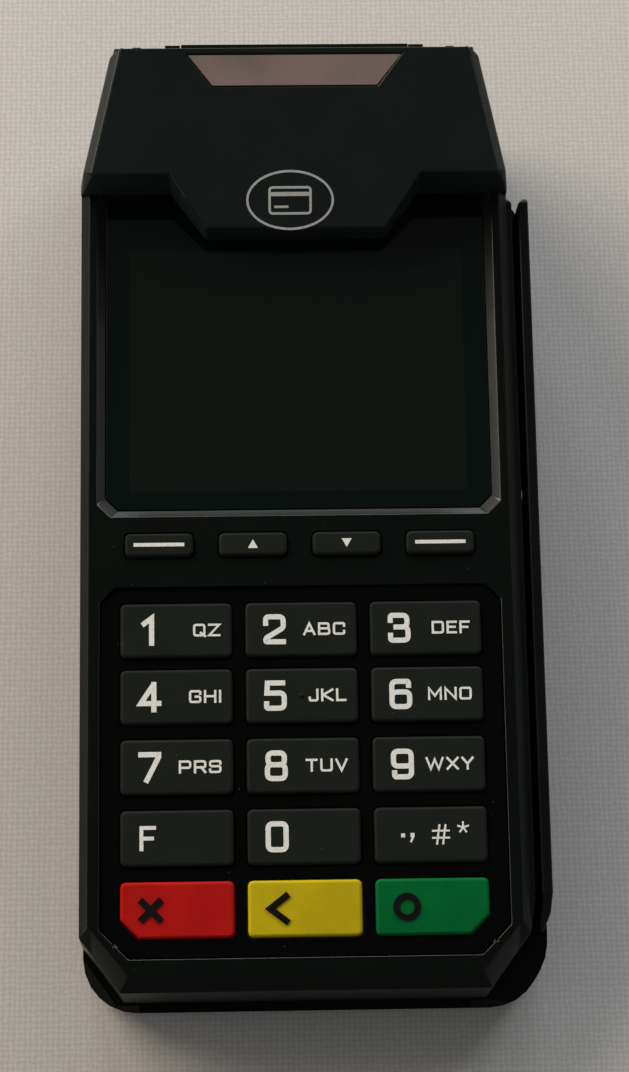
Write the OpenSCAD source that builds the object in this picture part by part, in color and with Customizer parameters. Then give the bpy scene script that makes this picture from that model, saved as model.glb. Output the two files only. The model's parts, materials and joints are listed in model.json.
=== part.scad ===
// Card payment terminal, portable, with printer.
// Face frame: X across, V along the face from the display's centre, N out of the face.
// Row frame: Z up, origin under the middle of the terminal, on the table.

/* [Stance] */
// Slope of the keypad face when the terminal stands on a table, degrees
face_tilt = 5; // [4.5:0.25:5.5]
// Height of the face over the table at the display's centre
face_height = 31.6; // [31.4:0.1:33]

/* [Housing] */
// Half width of the housing, without the swipe rail
half_w = 37.1; // [36.9:0.1:39]
// Distance from the display's centre to the front edge of the upper housing
front_v = 106.6; // [106:0.2:112]
// How far the lower case's nose stands in front of the upper housing
nose = 1.6; // [0.8:0.1:3]
// Depth of the seam between upper housing and lower case under the face
split = 12; // [11.8:0.1:12.4]
// Wall of the housing sides
wall = 1.8; // [1.4:0.1:2]
// Thickness of the face plate
face_wall = 2.6; // [2.4:0.1:2.7]
// Width of the bevel round the face
edge_bevel = 1.5; // [0.6:0.1:2]
// Cut of the front corners
front_cut = 6.8; // [5:0.2:8]

/* [Hood] */
// Where the hood's wings meet the face plate, from the display's centre
wing_v = 31.2; // [31:0.1:32]
// Height of the hood over the face at the wings
wing_n = 10; // [9:0.2:11]
// Slope of the hood to the face, degrees
hood_slope = 32; // [31:0.5:33]
// Back edge of the hood
hood_back = 49.3; // [49:0.1:49.6]
// Half width of the hood's back edge
hood_half = 30.2; // [29.8:0.2:31]
// Wall of the hood
hood_wall = 1.7; // [1.3:0.1:1.8]
// Radius of the hood's back corners
back_round = 2.4; // [1.6:0.1:3.6]
// Half width of the tongue at its lip
tongue_half = 15.4; // [12:0.2:18]
// Half width of the tongue at its root
tongue_root = 21.4; // [20:0.2:26]
// Lip of the tongue, from the display's centre
tongue_v = 23.2; // [22:0.2:25]
// Half width of the badge plate along its lower edge
badge_half = 14; // [10:0.5:15]
// Width of the badge plate up the slope
badge_h = 5.4; // [3:0.2:5.6]

/* [Display] */
// Half width of the lens
lens_half = 32.9; // [32:0.1:33]
// Front edge of the lens, from the display's centre
lens_front = 24.8; // [24:0.1:25.5]
// Depth of the lens under the face
lens_depth = 1.5; // [1:0.1:1.6]
// Thickness of the lens
lens_t = 1.4; // [1:0.1:1.5]
// Width of the bevel round the lens
lens_bevel = 1.4; // [1:0.1:2]

/* [Keypad] */
// Width of a number key
key_w = 18.7; // [17.5:0.1:18.8]
// Length of a number key along the face
key_h = 9.2; // [8.6:0.1:9.3]
// Spacing of the key columns
col_pitch = 20.9; // [20.7:0.1:21.1]
// First key row, from the display's centre
first_row = 45.7; // [45.6:0.1:46]
// Spacing between the first two key rows
first_pitch = 11.2; // [11.1:0.1:11.4]
// Spacing of the other key rows
row_pitch = 11.7; // [11.6:0.1:11.8]
// Height of the key tops over the face
key_top = 0.1; // [0:0.1:0.8]
// Travel of a number key
key_travel = 0.8; // [0.4:0.1:0.8]
// Corner radius of the keys
key_r = 0.8; // [0.4:0.1:1.2]
// Bevel round a key's top
key_bevel = 0.35; // [0.1:0.05:0.5]
// Clearance round a key in its window
key_clear = 0.2; // [0.1:0.05:0.3]
// Cut corner of the outer front keys
key_cut = 3.1; // [2:0.1:4]
// Width of a function key
fn_w = 11.5; // [10:0.1:12.5]
// Length of a function key along the face
fn_h = 4; // [3:0.1:4.6]
// Spacing of the function keys
fn_pitch = 15.8; // [15:0.1:16.4]
// Function key row, from the display's centre
fn_row = 31.2; // [31:0.1:31.6]
// Height of the function keys over the face
fn_top = 1; // [0.6:0.1:1.6]

/* [Swipe slot] */
// Thickness of the lip between the housing and the swipe slot
lip_w = 0.9; // [0.6:0.1:1]
// Width of the swipe slot
slot_w = 1.1; // [0.9:0.05:1.2]
// Thickness of the swipe rail
rail_t = 1.8; // [1.6:0.1:2.2]
// Length of the lead-in at the slot's back end
lead_in = 1.2; // [1:0.1:2.5]
// Depth of the swipe rail's top edge under the face
rail_top = 1.4; // [1:0.1:2.5]
// Back end of the swipe rail, from the display's centre
rail_back = 30.8; // [28:0.1:31]
// Front end of the swipe rail
rail_front = 96; // [94:0.5:98]

/* [Paper] */
// Radius of the paper roll
roll_r = 14.5; // [13:0.1:14.6]
// Width of the paper roll
roll_w = 57; // [55:0.5:57.5]
// Radius of the paper compartment
bay_r = 19; // [18.8:0.1:19.2]
// Radius of the platen's rubber
platen_r = 4; // [3.6:0.1:4.05]
// Module of the paper drive's gears
gear_mod = 0.4; // [0.4:0.01:0.41]
// Teeth of the motor pinion
pinion_teeth = 16; // [16:1:16]
// Teeth of the platen gear
platen_teeth = 30; // [28:1:30]
// Radius of the door's hinge pin
pin_r = 1; // [0.8:0.1:1.2]

/* [Battery] */
// Length of the battery pack along the terminal
battery_l = 50; // [44:0.5:51]
// Width of the battery pack
battery_w = 54; // [46:0.5:56]
// Thickness of the battery pack
battery_t = 6; // [5:0.1:6.1]

/* [Feet and screws] */
// Radius of a rubber foot
foot_r = 4; // [3:0.1:4.5]
// Radius of a case screw's head
screw_head_r = 2.2; // [1.8:0.1:2.5]
// Radius of a case screw's shank
screw_r = 1.1; // [0.8:0.1:1.3]

/* [Hidden] */
$fn = 28;
small_fn = 16;
dome_fn = 10;
corner_fn = 8;
eps = 0.01;
fit = 0.15;
skin_gap = 0.1;
run_fit = 0.05;
press_fit = 0.02;

case_v = front_v + nose;
slot_x = half_w + lip_w;
rail_x = slot_x + slot_w;
rail_out = rail_x + rail_t;
origin_x = -(rail_out - half_w) / 2;
bay_side = 0.5;
barrel_r = 2.2;
bay_v = 41;
bay_n = -13.5;
rear_v = bay_v + bay_r + 0.4;
rear_n = -21;
front_y = -case_v * cos(face_tilt) + 15 * sin(face_tilt);
rear_y = rear_v * cos(face_tilt) - rear_n * sin(face_tilt);
origin_y = -(front_y + rear_y) / 2;

taper_v = 33;
door_t = 1.6;
taper_half = roll_w / 2 + bay_side + door_t + 0.4;
taper_end = 58;
draft = 2.9;
door_v = hood_back + 0.2;
door_top = 18.2;
door_knee = 14.5;
door_corner = 4.2;
case_step = -19.6;
hinge_v = rear_v - barrel_r;
hinge_n = -17;
knuckle_out = taper_half - 2;
knuckle_in = knuckle_out - 5;

pocket_half = 33.7;
pocket_back = 38.3;
pocket_front = 99.85;
pocket_cut = 4.8;
pocket_depth = 0.9;
bezel_t = 1.1;
flange = 0.8;
flange_top = -pocket_depth - bezel_t - skin_gap;
flange_t = 0.9;
fn_flange_top = -face_wall - skin_gap;
fn_flange_t = 0.7;
fn_travel = 0.5;
dome_t = 0.4;
dome_rise = 0.25;
dome_gap = 0.05;
// Under the lowest flange when its key is pressed home
dome_base = min(flange_top - flange_t - key_travel, fn_flange_top - fn_flange_t - fn_travel)
    - dome_rise - dome_gap;
dome_r = 2.6;
fn_dome_r = 1.6;
key_board_t = 1;
main_board_n = -8.2;
board_t = 1.6;
board_back = 20.4;
board_half = half_w - wall - 1.3;
sheet_half = board_half - 1;
sheet_front = row_v(4) - key_h / 2 - 2.4;
sheet_back = fn_h / 2 - fn_row + 0.7;

lens_n = -lens_depth - lens_t;
ledge_t = 1;
lcd_t = 3;
lcd_n = lens_n - ledge_t - lcd_t;
lcd_half = 32.4;
lcd_front = 25.5;
lcd_back = 22.8;
lens_cut = 2.2;

card_n = -13.3;
card_slot_half = 27.75;
reader_half = card_slot_half + 1.25;
reader_clear = 0.9;
reader_back = 52;
reader_top = main_board_n - board_t;
reader_t = 5.2;

battery_back = 2;
battery_top = -15.6;
tray_t = 1.4;
tray_n = battery_top + tray_t;
cover_gap = 0.25;
cover_margin = 2.4;
grip_count = 5;
grip_pitch = 2.4;
grip_half = 9;
grip_w = 1.2;
grip_cut = 0.4;
grip_n = battery_top - battery_t - 1.1;

platen_v = 45.8;
platen_n = 8.5;
platen_half = roll_w / 2 - 3.5;
shaft_r = 1.2;
arm_t = 1.4;
arm_r = 2.4;
arm_in = platen_half + 1.2;
arm_out = arm_in + arm_t;
gear_w = 1.3;
gear_in = arm_out + 0.2;
gear_out = gear_in + gear_w;
gear_gap = 0.03;
gear_dist = (pinion_teeth + platen_teeth) * gear_mod / 2 + gear_gap;
motor_angle = 197.5;
motor_v = platen_v + gear_dist * cos(motor_angle);
motor_n = platen_n + gear_dist * sin(motor_angle);
motor_r = 3.3;
motor_shaft_r = 0.6;
path_angle = 54.3;
head_v = platen_v - platen_r * sin(path_angle);
head_n = platen_n + platen_r * cos(path_angle);
frame_n = motor_n - motor_r - 0.05;
frame_t = 1.4;
frame_half = roll_w / 2 + 2.5;
head_half = platen_half - 0.5;
fin_pitch = 3.5;

head_slot_v = -22;
head_slot_n = -7.6;
mag_half_l = 6;
mag_half_h = 3.2;

speaker_x = 14;
speaker_v = 13;
speaker_r = 5.4;
chamber_n = -22.6;
slot_pitch = 2.2;
grille_w = 1.1;

foot_front_v = -92;
foot_back_v = 30;
foot_x = 24;
foot_top = 3.2;
front_screw_v = -86;
front_screw_x = reader_half + 3;
rear_screw_v = 26.5;
rear_screw_x = roll_w / 2 + bay_side + 3;
boss_r = screw_r + 1.2;
boss_gap = 0.3;
screw_head_h = 1.6;
screw_seat = split + 7.2;
notch_x = 31.6;
notch_front = -36.6;
notch_back = -7.4;

FN_KEYS = ["key_menu_left", "key_up", "key_down", "key_menu_right"];
PAD_KEYS = [
    ["key_1", "key_2", "key_3"],
    ["key_4", "key_5", "key_6"],
    ["key_7", "key_8", "key_9"],
    ["key_f", "key_0", "key_symbols"],
    ["key_cancel", "key_clear", "key_enter"]
];

function row_v(row) = row == 0 ? -first_row : -first_row - first_pitch - (row - 1) * row_pitch;
function col_x(col) = (col - 1) * col_pitch;
function fn_x(i) = (i - 1.5) * fn_pitch;
// Half width of the outline in plan at the back, where the sides run in
function plan_half(v) = v < taper_v ? half_w
    : half_w - (half_w - taper_half) * (v - taper_v) / (taper_end - taper_v);
// How far the door's sides run in at a height over the face, in line with the hood's
function door_draft(n) = n * draft / hood_n(hood_back);
// Height of the hood's plane over the face
function hood_n(v) = wing_n + (v - wing_v) * tan(hood_slope);

module in_face() {
    translate([origin_x, origin_y, face_height])
        rotate([face_tilt, 0, 0])
            children();
}

// Prism across the terminal from a profile in V and N
module across(x_from, x_to) {
    translate([x_from, 0, 0])
        rotate([90, 0, 90])
            linear_extrude(x_to - x_from)
                children();
}

module slab(n_from, n_to) {
    translate([0, 0, n_from])
        linear_extrude(n_to - n_from)
            children();
}

module box(x, v, n) {
    translate([x[0], v[0], n[0]])
        cube([x[1] - x[0], v[1] - v[0], n[1] - n[0]]);
}

// Cylinder with its axis across the terminal
module rod(v, n, x_from, x_to, r) {
    translate([x_from, v, n])
        rotate([0, 90, 0])
            cylinder(r = r, h = x_to - x_from);
}

// Plan outline of the housing, drawn in by inset
module plan(inset = 0, back = taper_end, front = front_v, cut = front_cut) {
    h = half_w - inset;
    polygon([
        [-h, -front + cut + inset * 0.4 + 2.2], [-h + cut, -front + inset], [h - cut, -front + inset],
        [h, -front + cut + inset * 0.4 + 2.2], [h, taper_v],
        [plan_half(back) - inset, back], [-plan_half(back) + inset, back], [-h, taper_v]
    ]);
}

module lens_outline(grow = 0) {
    h = lens_half + grow;
    f = -lens_front - grow;
    polygon([
        [-h, f + lens_cut], [-h + lens_cut, f], [h - lens_cut, f], [h, f + lens_cut],
        [h, wing_v], [-h, wing_v]
    ]);
}

// Children stand at each case screw
module screws_at() {
    for (s = [-1, 1]) {
        translate([s * front_screw_x, front_screw_v, 0]) children();
        translate([s * rear_screw_x, rear_screw_v, 0]) children();
    }
}

module pocket_outline(inset = 0) {
    h = pocket_half - inset;
    b = -pocket_back - inset;
    f = -pocket_front + inset;
    polygon([
        [-h, f + pocket_cut], [-h + pocket_cut, f], [h - pocket_cut, f], [h, f + pocket_cut],
        [h, b - 2.5], [h - 2.5, b], [-h + 2.5, b], [-h, b - 2.5]
    ]);
}

module keypad_window() {
    x = col_x(2) + key_w / 2 + flange + 0.4;
    translate([-x, row_v(4) - key_h / 2 - flange - 0.4])
        square([2 * x, row_v(0) - row_v(4) + key_h + 2 * flange + 0.8]);
}

module upper_housing() {
    color([0.09, 0.1, 0.1]) in_face() difference() {
        union() {
            hull() {
                slab(-eps, 0) plan(edge_bevel, wing_v + hood_wall, front_v - 2.6);
                slab(-edge_bevel, -edge_bevel + eps)
                    plan(0, wing_v + hood_wall, front_v - 1.4);
                slab(-split, -split + eps) plan(0, wing_v + hood_wall);
            }
            slab(-split, 0) intersection() {
                plan(0, hood_back);
                translate([-half_w, wing_v]) square([2 * half_w, hood_back - wing_v]);
            }
            // lip along the swipe slot
            intersection() {
                across(half_w - wall, slot_x) rail_profile();
                slab(-split, 0) polygon([
                    [half_w - wall, rail_back + 1], [half_w, rail_back + 1], [slot_x, rail_back - lead_in],
                    [slot_x, -rail_front + 1], [half_w, -rail_front - 1], [half_w - wall, -rail_front - 1]
                ]);
            }
        }
        // inside of the shell
        difference() {
            slab(-split - 1, -face_wall) plan(wall, hood_back + 1);
            slab(lens_n - ledge_t, 0) lens_outline(1.6);
            screws_at() translate([0, 0, -split - 2]) cylinder(r = boss_r, h = split, $fn = small_fn);
        }
        // top opening under the hood
        slab(-face_wall - 1, 1) intersection() {
            plan(wall, hood_back + 1);
            translate([-half_w, wing_v + hood_wall]) square([2 * half_w, hood_back]);
        }
        // display window with its bevel, the lens seat and the view opening
        hull() {
            slab(0, eps) lens_outline(lens_bevel);
            slab(-lens_depth - eps, -lens_depth) lens_outline(0);
        }
        slab(lens_n, -lens_depth) lens_outline(0);
        slab(lens_n - ledge_t - 1, lens_n)
            translate([-lens_half + 3, -lens_front + 1.6])
                square([2 * lens_half - 6, 2 * lens_front - 3]);
        // keypad pocket and window
        slab(-pocket_depth - bezel_t, 1) pocket_outline();
        slab(dome_base, 0) keypad_window();
        // function key windows
        for (i = [0 : 3])
            slab(-face_wall - 1, 1) translate([fn_x(i), -fn_row])
                key_outline(fn_w + 2 * key_clear, fn_h + 2 * key_clear);
        // window of the magnetic head, in the wall of the swipe slot
        box([half_w - wall - 1, slot_x + 1],
            [head_slot_v - mag_half_l - key_clear, head_slot_v + mag_half_l + key_clear],
            [head_slot_n - mag_half_h - key_clear, head_slot_n + mag_half_h + key_clear]);
        // pilot holes of the case screws
        screws_at() translate([0, 0, -split - 1])
            cylinder(r = screw_r + run_fit, h = 6, $fn = small_fn);
    }
}

// Side view of the swipe rail and of the lip beside it
module rail_profile() {
    polygon([
        [-rail_front, -split], [rail_back, -split], [rail_back, -rail_top - 1],
        [rail_back - 0.8, -rail_top], [-rail_front + 6, -rail_top], [-rail_front, -rail_top - 7]
    ]);
}

module on_slope() {
    translate([0, wing_v, wing_n])
        rotate([hood_slope, 0, 0])
            children();
}

slope_len = (hood_back - wing_v) / cos(hood_slope);
back_lean = 5;

module hood_outline(inset = 0) {
    polygon([
        [-half_w + 1 + inset, 0], [half_w - 1 - inset, 0],
        [hood_half - inset, slope_len + 1], [-hood_half + inset, slope_len + 1]
    ]);
}

module hood_body(inset, drop) {
    hull() {
        slab(0, eps) polygon([
            [-half_w + inset, wing_v + inset], [half_w - inset, wing_v + inset],
            [half_w - inset, taper_v], [plan_half(hood_back) - inset, hood_back + 1],
            [-plan_half(hood_back) + inset, hood_back + 1], [-half_w + inset, taper_v]
        ]);
        on_slope() slab(-drop - edge_bevel, -drop - edge_bevel + eps) hood_outline(inset);
        on_slope() slab(-drop - eps, -drop) hood_outline(inset + edge_bevel);
    }
}

module badge_outline(grow = 0) {
    polygon([
        [-badge_half - grow, slope_len - badge_h - 1.2 - grow],
        [badge_half + grow, slope_len - badge_h - 1.2 - grow],
        [badge_half + 4 + grow, slope_len - 1.2 + grow],
        [-badge_half - 4 - grow, slope_len - 1.2 + grow]
    ]);
}

// Tongue over the display, from the hood's plane down to the lens
module tongue() {
    lap = 0.8;
    grow = (tongue_root - tongue_half) * lap / (wing_v - tongue_v);
    intersection() {
        slab(-lens_depth, wing_n + 4) polygon([
            [-tongue_root - grow, wing_v + lap], [-tongue_half, tongue_v],
            [tongue_half, tongue_v], [tongue_root + grow, wing_v + lap]
        ]);
        across(-half_w, half_w) polygon([
            [tongue_v - 1, -lens_depth], [wing_v, -lens_depth], [wing_v, 0.2], [wing_v + lap, 0.2],
            [wing_v + lap, hood_n(wing_v + lap)], [tongue_v - 1, hood_n(tongue_v - 1)]
        ]);
    }
}

// What is cut away to round a back corner of the hood; the cut follows the side and fades out
// downwards
module back_corner(s) {
    lean = atan((half_w - 1 - hood_half) / (hood_back - wing_v + 1));
    x = sin(lean) - back_round * (1 - sin(lean)) / cos(lean);
    far = back_round + 8;
    translate([s * hood_half, hood_back, hood_n(hood_back)])
        rotate([back_lean, -s * atan(draft / hood_n(hood_back)), 0])
            slab(-25, 4) polygon([
                for (a = [0 : 5])
                    let (turn = lean + a * (90 - lean) / 5)
                        [s * (x + back_round * cos(turn)), back_round * (sin(turn) - 1)],
                [s * x, 4], [s * (x + far), 4], [s * (x + far), far * tan(lean) - back_round]
            ]);
}

module hood_cover() {
    color([0.08, 0.09, 0.09]) in_face() difference() {
        union() {
            hood_body(0, 0);
            tongue();
        }
        difference() {
            translate([0, 0, -eps]) hood_body(hood_wall, hood_wall + 0.2);
            box([-half_w, half_w], [0, wing_v + hood_wall], [-1, wing_n]);
        }
        box([-half_w, half_w], [hood_back, hood_back + 20], [-1, 40]);
        for (s = [-1, 1]) back_corner(s);
        on_slope() slab(-0.6, 1) badge_outline();
    }
}

module badge_plate() {
    color([0.55, 0.43, 0.41]) in_face() on_slope()
        slab(-0.6, -0.15) badge_outline(-0.15);
}

module display_lens() {
    color([0.03, 0.035, 0.04]) in_face() slab(lens_n, -lens_depth) lens_outline(-0.1);
}

module lcd_module() {
    color([0.12, 0.13, 0.14]) in_face()
        box([-lcd_half, lcd_half], [-lcd_front, lcd_back], [lcd_n, lcd_n + lcd_t]);
}

module display_flex() {
    color([0.75, 0.5, 0.15]) in_face() union() {
        box([-8, 8], [-lcd_front + 2, -lcd_front + 12], [lcd_n - 0.3, lcd_n]);
        box([-8, 8], [-lcd_front + 2, -lcd_front + 2.3], [main_board_n, lcd_n]);
    }
}

module keypad_bezel() {
    color([0.05, 0.06, 0.06]) in_face() difference() {
        slab(-pocket_depth - bezel_t, -pocket_depth) pocket_outline(fit);
        for (row = [0 : 4]) for (col = [0 : 2])
            slab(-4, 1) translate([col_x(col), row_v(row)])
                key_outline(key_w + 2 * key_clear, key_h + 2 * key_clear, key_side(row, col));
    }
}

// Side of the cut corner: -1 left, 1 right, 0 none
function key_side(row, col) = row == 4 ? col - 1 : 0;

module key_outline(w, h, side = 0) {
    intersection() {
        offset(r = key_r, $fn = corner_fn)
            square([w - 2 * key_r, h - 2 * key_r], center = true);
        polygon([
            [-w / 2, -h / 2 + (side < 0 ? key_cut : 0)],
            [-w / 2 + (side < 0 ? key_cut : 0), -h / 2],
            [w / 2 - (side > 0 ? key_cut : 0), -h / 2],
            [w / 2, -h / 2 + (side > 0 ? key_cut : 0)],
            [w / 2, h / 2], [-w / 2, h / 2]
        ]);
    }
}

// Prism whose top edge is bevelled
module bevelled(n_from, n_to) {
    hull() {
        slab(n_from, n_to - key_bevel) children();
        slab(n_to - eps, n_to) offset(delta = -key_bevel) children();
    }
}

module pad_key(row, col) {
    in_face() translate([col_x(col), row_v(row), 0]) {
        bevelled(flange_top, key_top) key_outline(key_w, key_h, key_side(row, col));
        slab(flange_top - flange_t, flange_top)
            key_outline(key_w + 2 * flange, key_h + 2 * flange, key_side(row, col));
    }
}

module fn_key(i) {
    in_face() translate([fn_x(i), -fn_row, 0]) {
        bevelled(fn_flange_top, fn_top) key_outline(fn_w, fn_h);
        slab(fn_flange_top - fn_flange_t, fn_flange_top)
            key_outline(fn_w + 2 * flange, fn_h + 2 * flange);
    }
}

module key_shape(name) {
    for (i = [0 : 3])
        if (FN_KEYS[i] == name) color([0.12, 0.13, 0.13]) fn_key(i);
    for (row = [0 : 4]) for (col = [0 : 2])
        if (PAD_KEYS[row][col] == name)
            color(row < 4 ? [0.15, 0.16, 0.16]
                : col == 0 ? [0.75, 0.08, 0.08] : col == 1 ? [0.8, 0.72, 0.1] : [0, 0.42, 0.24])
                pad_key(row, col);
}

// Room in a board round the screw bosses and the magnetic head
module board_cuts() {
    screws_at() translate([0, 0, -40]) cylinder(r = boss_r + boss_gap, h = 40, $fn = small_fn);
    box([notch_x, half_w], [notch_front, notch_back], [-40, 0]);
}

module dome_sheet() {
    color([0.7, 0.7, 0.72]) in_face() union() {
        difference() {
            box([-sheet_half, sheet_half], [sheet_front, sheet_back], [dome_base - dome_t, dome_base]);
            board_cuts();
        }
        for (row = [0 : 4]) for (col = [0 : 2])
            translate([col_x(col), row_v(row), dome_base - eps])
                cylinder(r = dome_r, h = dome_rise + eps, $fn = dome_fn);
        for (i = [0 : 3])
            translate([fn_x(i), -fn_row, dome_base - eps])
                cylinder(r = fn_dome_r, h = dome_rise + eps, $fn = dome_fn);
    }
}

module keypad_pcb() {
    color([0.05, 0.3, 0.15]) in_face() difference() {
        box([-board_half, board_half], [sheet_front + 1, sheet_back + 0.5],
            [dome_base - dome_t - key_board_t, dome_base - dome_t]);
        board_cuts();
    }
}

module main_pcb() {
    color([0.05, 0.32, 0.18]) in_face() difference() {
        union() {
            box([-board_half, board_half], [sheet_front + 3, board_back],
                [main_board_n - board_t, main_board_n]);
            box([-10, 4], [-60, -46], [main_board_n - eps, main_board_n + 1.2]);
            box([12, 24], [-44, -32], [main_board_n - eps, main_board_n + 1]);
            box([-28, -16], [-92, -84], [main_board_n - eps, main_board_n + 1.6]);
        }
        board_cuts();
    }
}

module smart_card_reader() {
    color([0.2, 0.2, 0.22]) in_face() difference() {
        box([-reader_half, reader_half], [-front_v + wall + reader_clear, -reader_back],
            [reader_top - reader_t, reader_top]);
        box([-27.2, 27.2], [-front_v, -reader_back - 4], [card_n - 0.6, card_n + 0.6]);
    }
}

module magstripe_head() {
    color([0.6, 0.6, 0.62]) in_face() union() {
        box([half_w - 3.2, slot_x + 0.1], [head_slot_v - 5.2, head_slot_v + 5.2],
            [head_slot_n - mag_half_h, head_slot_n + mag_half_h]);
        intersection() {
            translate([slot_x - 4.6, head_slot_v, head_slot_n - mag_half_h])
                cylinder(r = 5, h = 2 * mag_half_h);
            box([slot_x, slot_x + 0.4], [head_slot_v - 3, head_slot_v + 3],
                [head_slot_n - mag_half_h, head_slot_n + mag_half_h]);
        }
    }
}

module head_spring() {
    color([0.7, 0.68, 0.6]) in_face() union() {
        box([half_w - wall - 2.4, half_w - wall - 2.1],
            [head_slot_v - 14, head_slot_v + 14], [head_slot_n - 2.4, head_slot_n + 2.4]);
        for (s = [-1, 1])
            box([half_w - wall - 2.4, half_w - wall],
                [head_slot_v + s * 13 - 1, head_slot_v + s * 13 + 1],
                [head_slot_n - 2.4, head_slot_n + 2.4]);
    }
}

module swipe_rail() {
    color([0.08, 0.09, 0.09]) in_face() intersection() {
        across(rail_x, rail_out) rail_profile();
        slab(-split - 1, 0) polygon([
            [rail_x + 0.9, rail_back], [rail_x, rail_back - lead_in], [rail_x, -rail_front],
            [rail_out - 1, -rail_front], [rail_out, -rail_front + 3], [rail_out, rail_back]
        ]);
    }
}

// Plan outline of the lower case, with the ledge under the swipe slot on the right
module case_plan(inset = 0) {
    corner = 9;
    offset(r = corner - inset, $fn = 24) offset(delta = -corner) polygon([
        [-half_w, -case_v], [rail_out - 5, -case_v], [rail_out, -case_v + 8],
        [rail_out, rail_back], [half_w, rail_back + 4],
        [half_w, taper_v + 3], [plan_half(rear_v), rear_v + corner], [-plan_half(rear_v), rear_v + corner],
        [-half_w, taper_v + 3]
    ]);
}

module case_profile(inset = 0) {
    offset(delta = -inset) polygon([
        [-case_v + 1.2, -split], [-case_v, -split - 2.6], [-case_v + 0.6, -split - 6],
        [-case_v + 4, -split - 9.4], [-case_v + 16, -split - 10.4], [4, -split - 12.6], [9, -split - 14.4],
        [16, -split - 17.8], [25, -split - 20.8], [34, -split - 21.9], [bay_v + 6, -split - 22],
        [bay_v + 12, -split - 20.6], [bay_v + 17, -split - 16.4], [rear_v, rear_n],
        [rear_v, case_step], [door_v - 0.1, case_step], [door_v - 0.1, -split]
    ]);
}

battery_front = battery_back - battery_l;

// Top edge of the case, drawn in to the housing at the front corners
module case_crown() {
    hull() {
        slab(-split - eps, -split) union() {
            plan(-0.7, rear_v, case_v - 1.2);
            translate([half_w, -rail_front]) square([rail_out - half_w, rail_front + rail_back]);
        }
        slab(-50, -split - 3.4) square_plan();
    }
}

module square_plan() {
    translate([-half_w - 1, -case_v - 1]) square([half_w + rail_out + 2, case_v + rear_v + 10]);
}

module lower_case() {
    color([0.1, 0.11, 0.11]) in_face() difference() {
        union() {
            difference() {
                intersection() {
                    across(-50, 50) case_profile();
                    slab(-50, 0) case_plan();
                    case_crown();
                }
                // front bay, open to the top, for the boards and the card reader
                slab(-split - 8, 1) intersection() {
                    plan(wall);
                    translate([-half_w, -front_v]) square([2 * half_w, front_v - battery_l - 2]);
                }
                box([-half_w + wall, half_w - wall], [-battery_l - 4, bay_v - bay_r + 1],
                    [tray_n, 1]);
                // paper compartment
                rod(bay_v, bay_n, -roll_w / 2 - bay_side, roll_w / 2 + bay_side, bay_r);
                // battery compartment, open below
                box([-battery_w / 2 - fit, battery_w / 2 + fit],
                    [battery_front - fit, battery_back + fit], [-40, battery_top + 0.05]);
                // recess of the battery cover
                box([-battery_w / 2 - cover_margin, battery_w / 2 + cover_margin],
                    [battery_front - cover_margin, battery_back + cover_margin],
                    [-40, battery_top - battery_t - 0.1]);
            }
            // bosses of the case screws
            screws_at() translate([0, 0, -split - 8.5])
                cylinder(r = screw_r + 1.4, h = 8.5 - 2.05, $fn = small_fn);
            // knuckles of the door hinge
            for (s = [-1, 1])
                intersection() {
                    union() {
                        rod(hinge_v, hinge_n, s > 0 ? knuckle_in : -knuckle_out,
                            s > 0 ? knuckle_out : -knuckle_in, barrel_r, $fn = small_fn);
                        box(s > 0 ? [knuckle_in, knuckle_out] : [-knuckle_out, -knuckle_in],
                            [hinge_v - 1.6, hinge_v + 1.2], [case_step - 1, hinge_n]);
                    }
                    box([-40, 40], [hinge_v - 3, rear_v], [-40, 0]);
                }
        }
        rod(hinge_v, hinge_n, -knuckle_out - 1, knuckle_out + 1, pin_r + press_fit, $fn = small_fn);
        // mouth of the card slot
        box([-card_slot_half, card_slot_half], [-case_v - 1, -front_v + wall + 1],
            [card_n - 1.1, 1]);
        // bores and head seats of the case screws
        screws_at() {
            translate([0, 0, -40]) cylinder(r = screw_r + run_fit, h = 40, $fn = small_fn);
            translate([0, 0, -60]) cylinder(r = screw_head_r + 0.2, h = 60 - screw_seat, $fn = small_fn);
        }
        // pockets of the feet
        feet_at() translate([0, 0, -1]) cylinder(r = foot_r + 0.1, h = foot_top + 1, $fn = small_fn);
        // charging contacts and the service socket
        box([-9.3, 9.3], [rear_v - 2.5, rear_v + 1], [-25, -22]);
        box([-40, -half_w + wall + 1], [-9.8, 1.8], [-split - 4.6, 1]);
        // chamber of the speaker and its grille
        translate([speaker_x, speaker_v, chamber_n])
            cylinder(r = speaker_r, h = tray_n - chamber_n + 1, $fn = small_fn);
        for (i = [-2 : 2])
            slab(-45, chamber_n + 1) translate([speaker_x + i * slot_pitch, speaker_v])
                square([grille_w, 2 * sqrt(pow(speaker_r, 2) - pow(i * slot_pitch, 2)) - 1.6],
                    center = true);
    }
}

// Children stand on the table under each foot, in the row frame
module feet_at() {
    rotate([-face_tilt, 0, 0])
        translate([0, 0, -face_height])
            for (s = [-1, 1]) for (v = [foot_front_v, foot_back_v])
                translate([s * foot_x, v * cos(face_tilt), 0])
                    children();
}

module feet() {
    color([0.2, 0.2, 0.2]) in_face() feet_at() cylinder(r = foot_r, h = foot_top);
}

module battery_pack() {
    color([0.25, 0.3, 0.35]) in_face()
        box([-battery_w / 2, battery_w / 2], [battery_front, battery_back],
            [battery_top - battery_t, battery_top]);
}

module battery_contacts() {
    color([0.8, 0.65, 0.3]) in_face() union() {
        box([-9, 9], [battery_front + 3, battery_front + 8], [tray_n, tray_n + 3]);
        for (i = [-1.5 : 1 : 1.5])
            box([i * 4 - 0.8, i * 4 + 0.8], [battery_front + 4, battery_front + 6],
                [tray_n, main_board_n - board_t]);
    }
}

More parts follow.
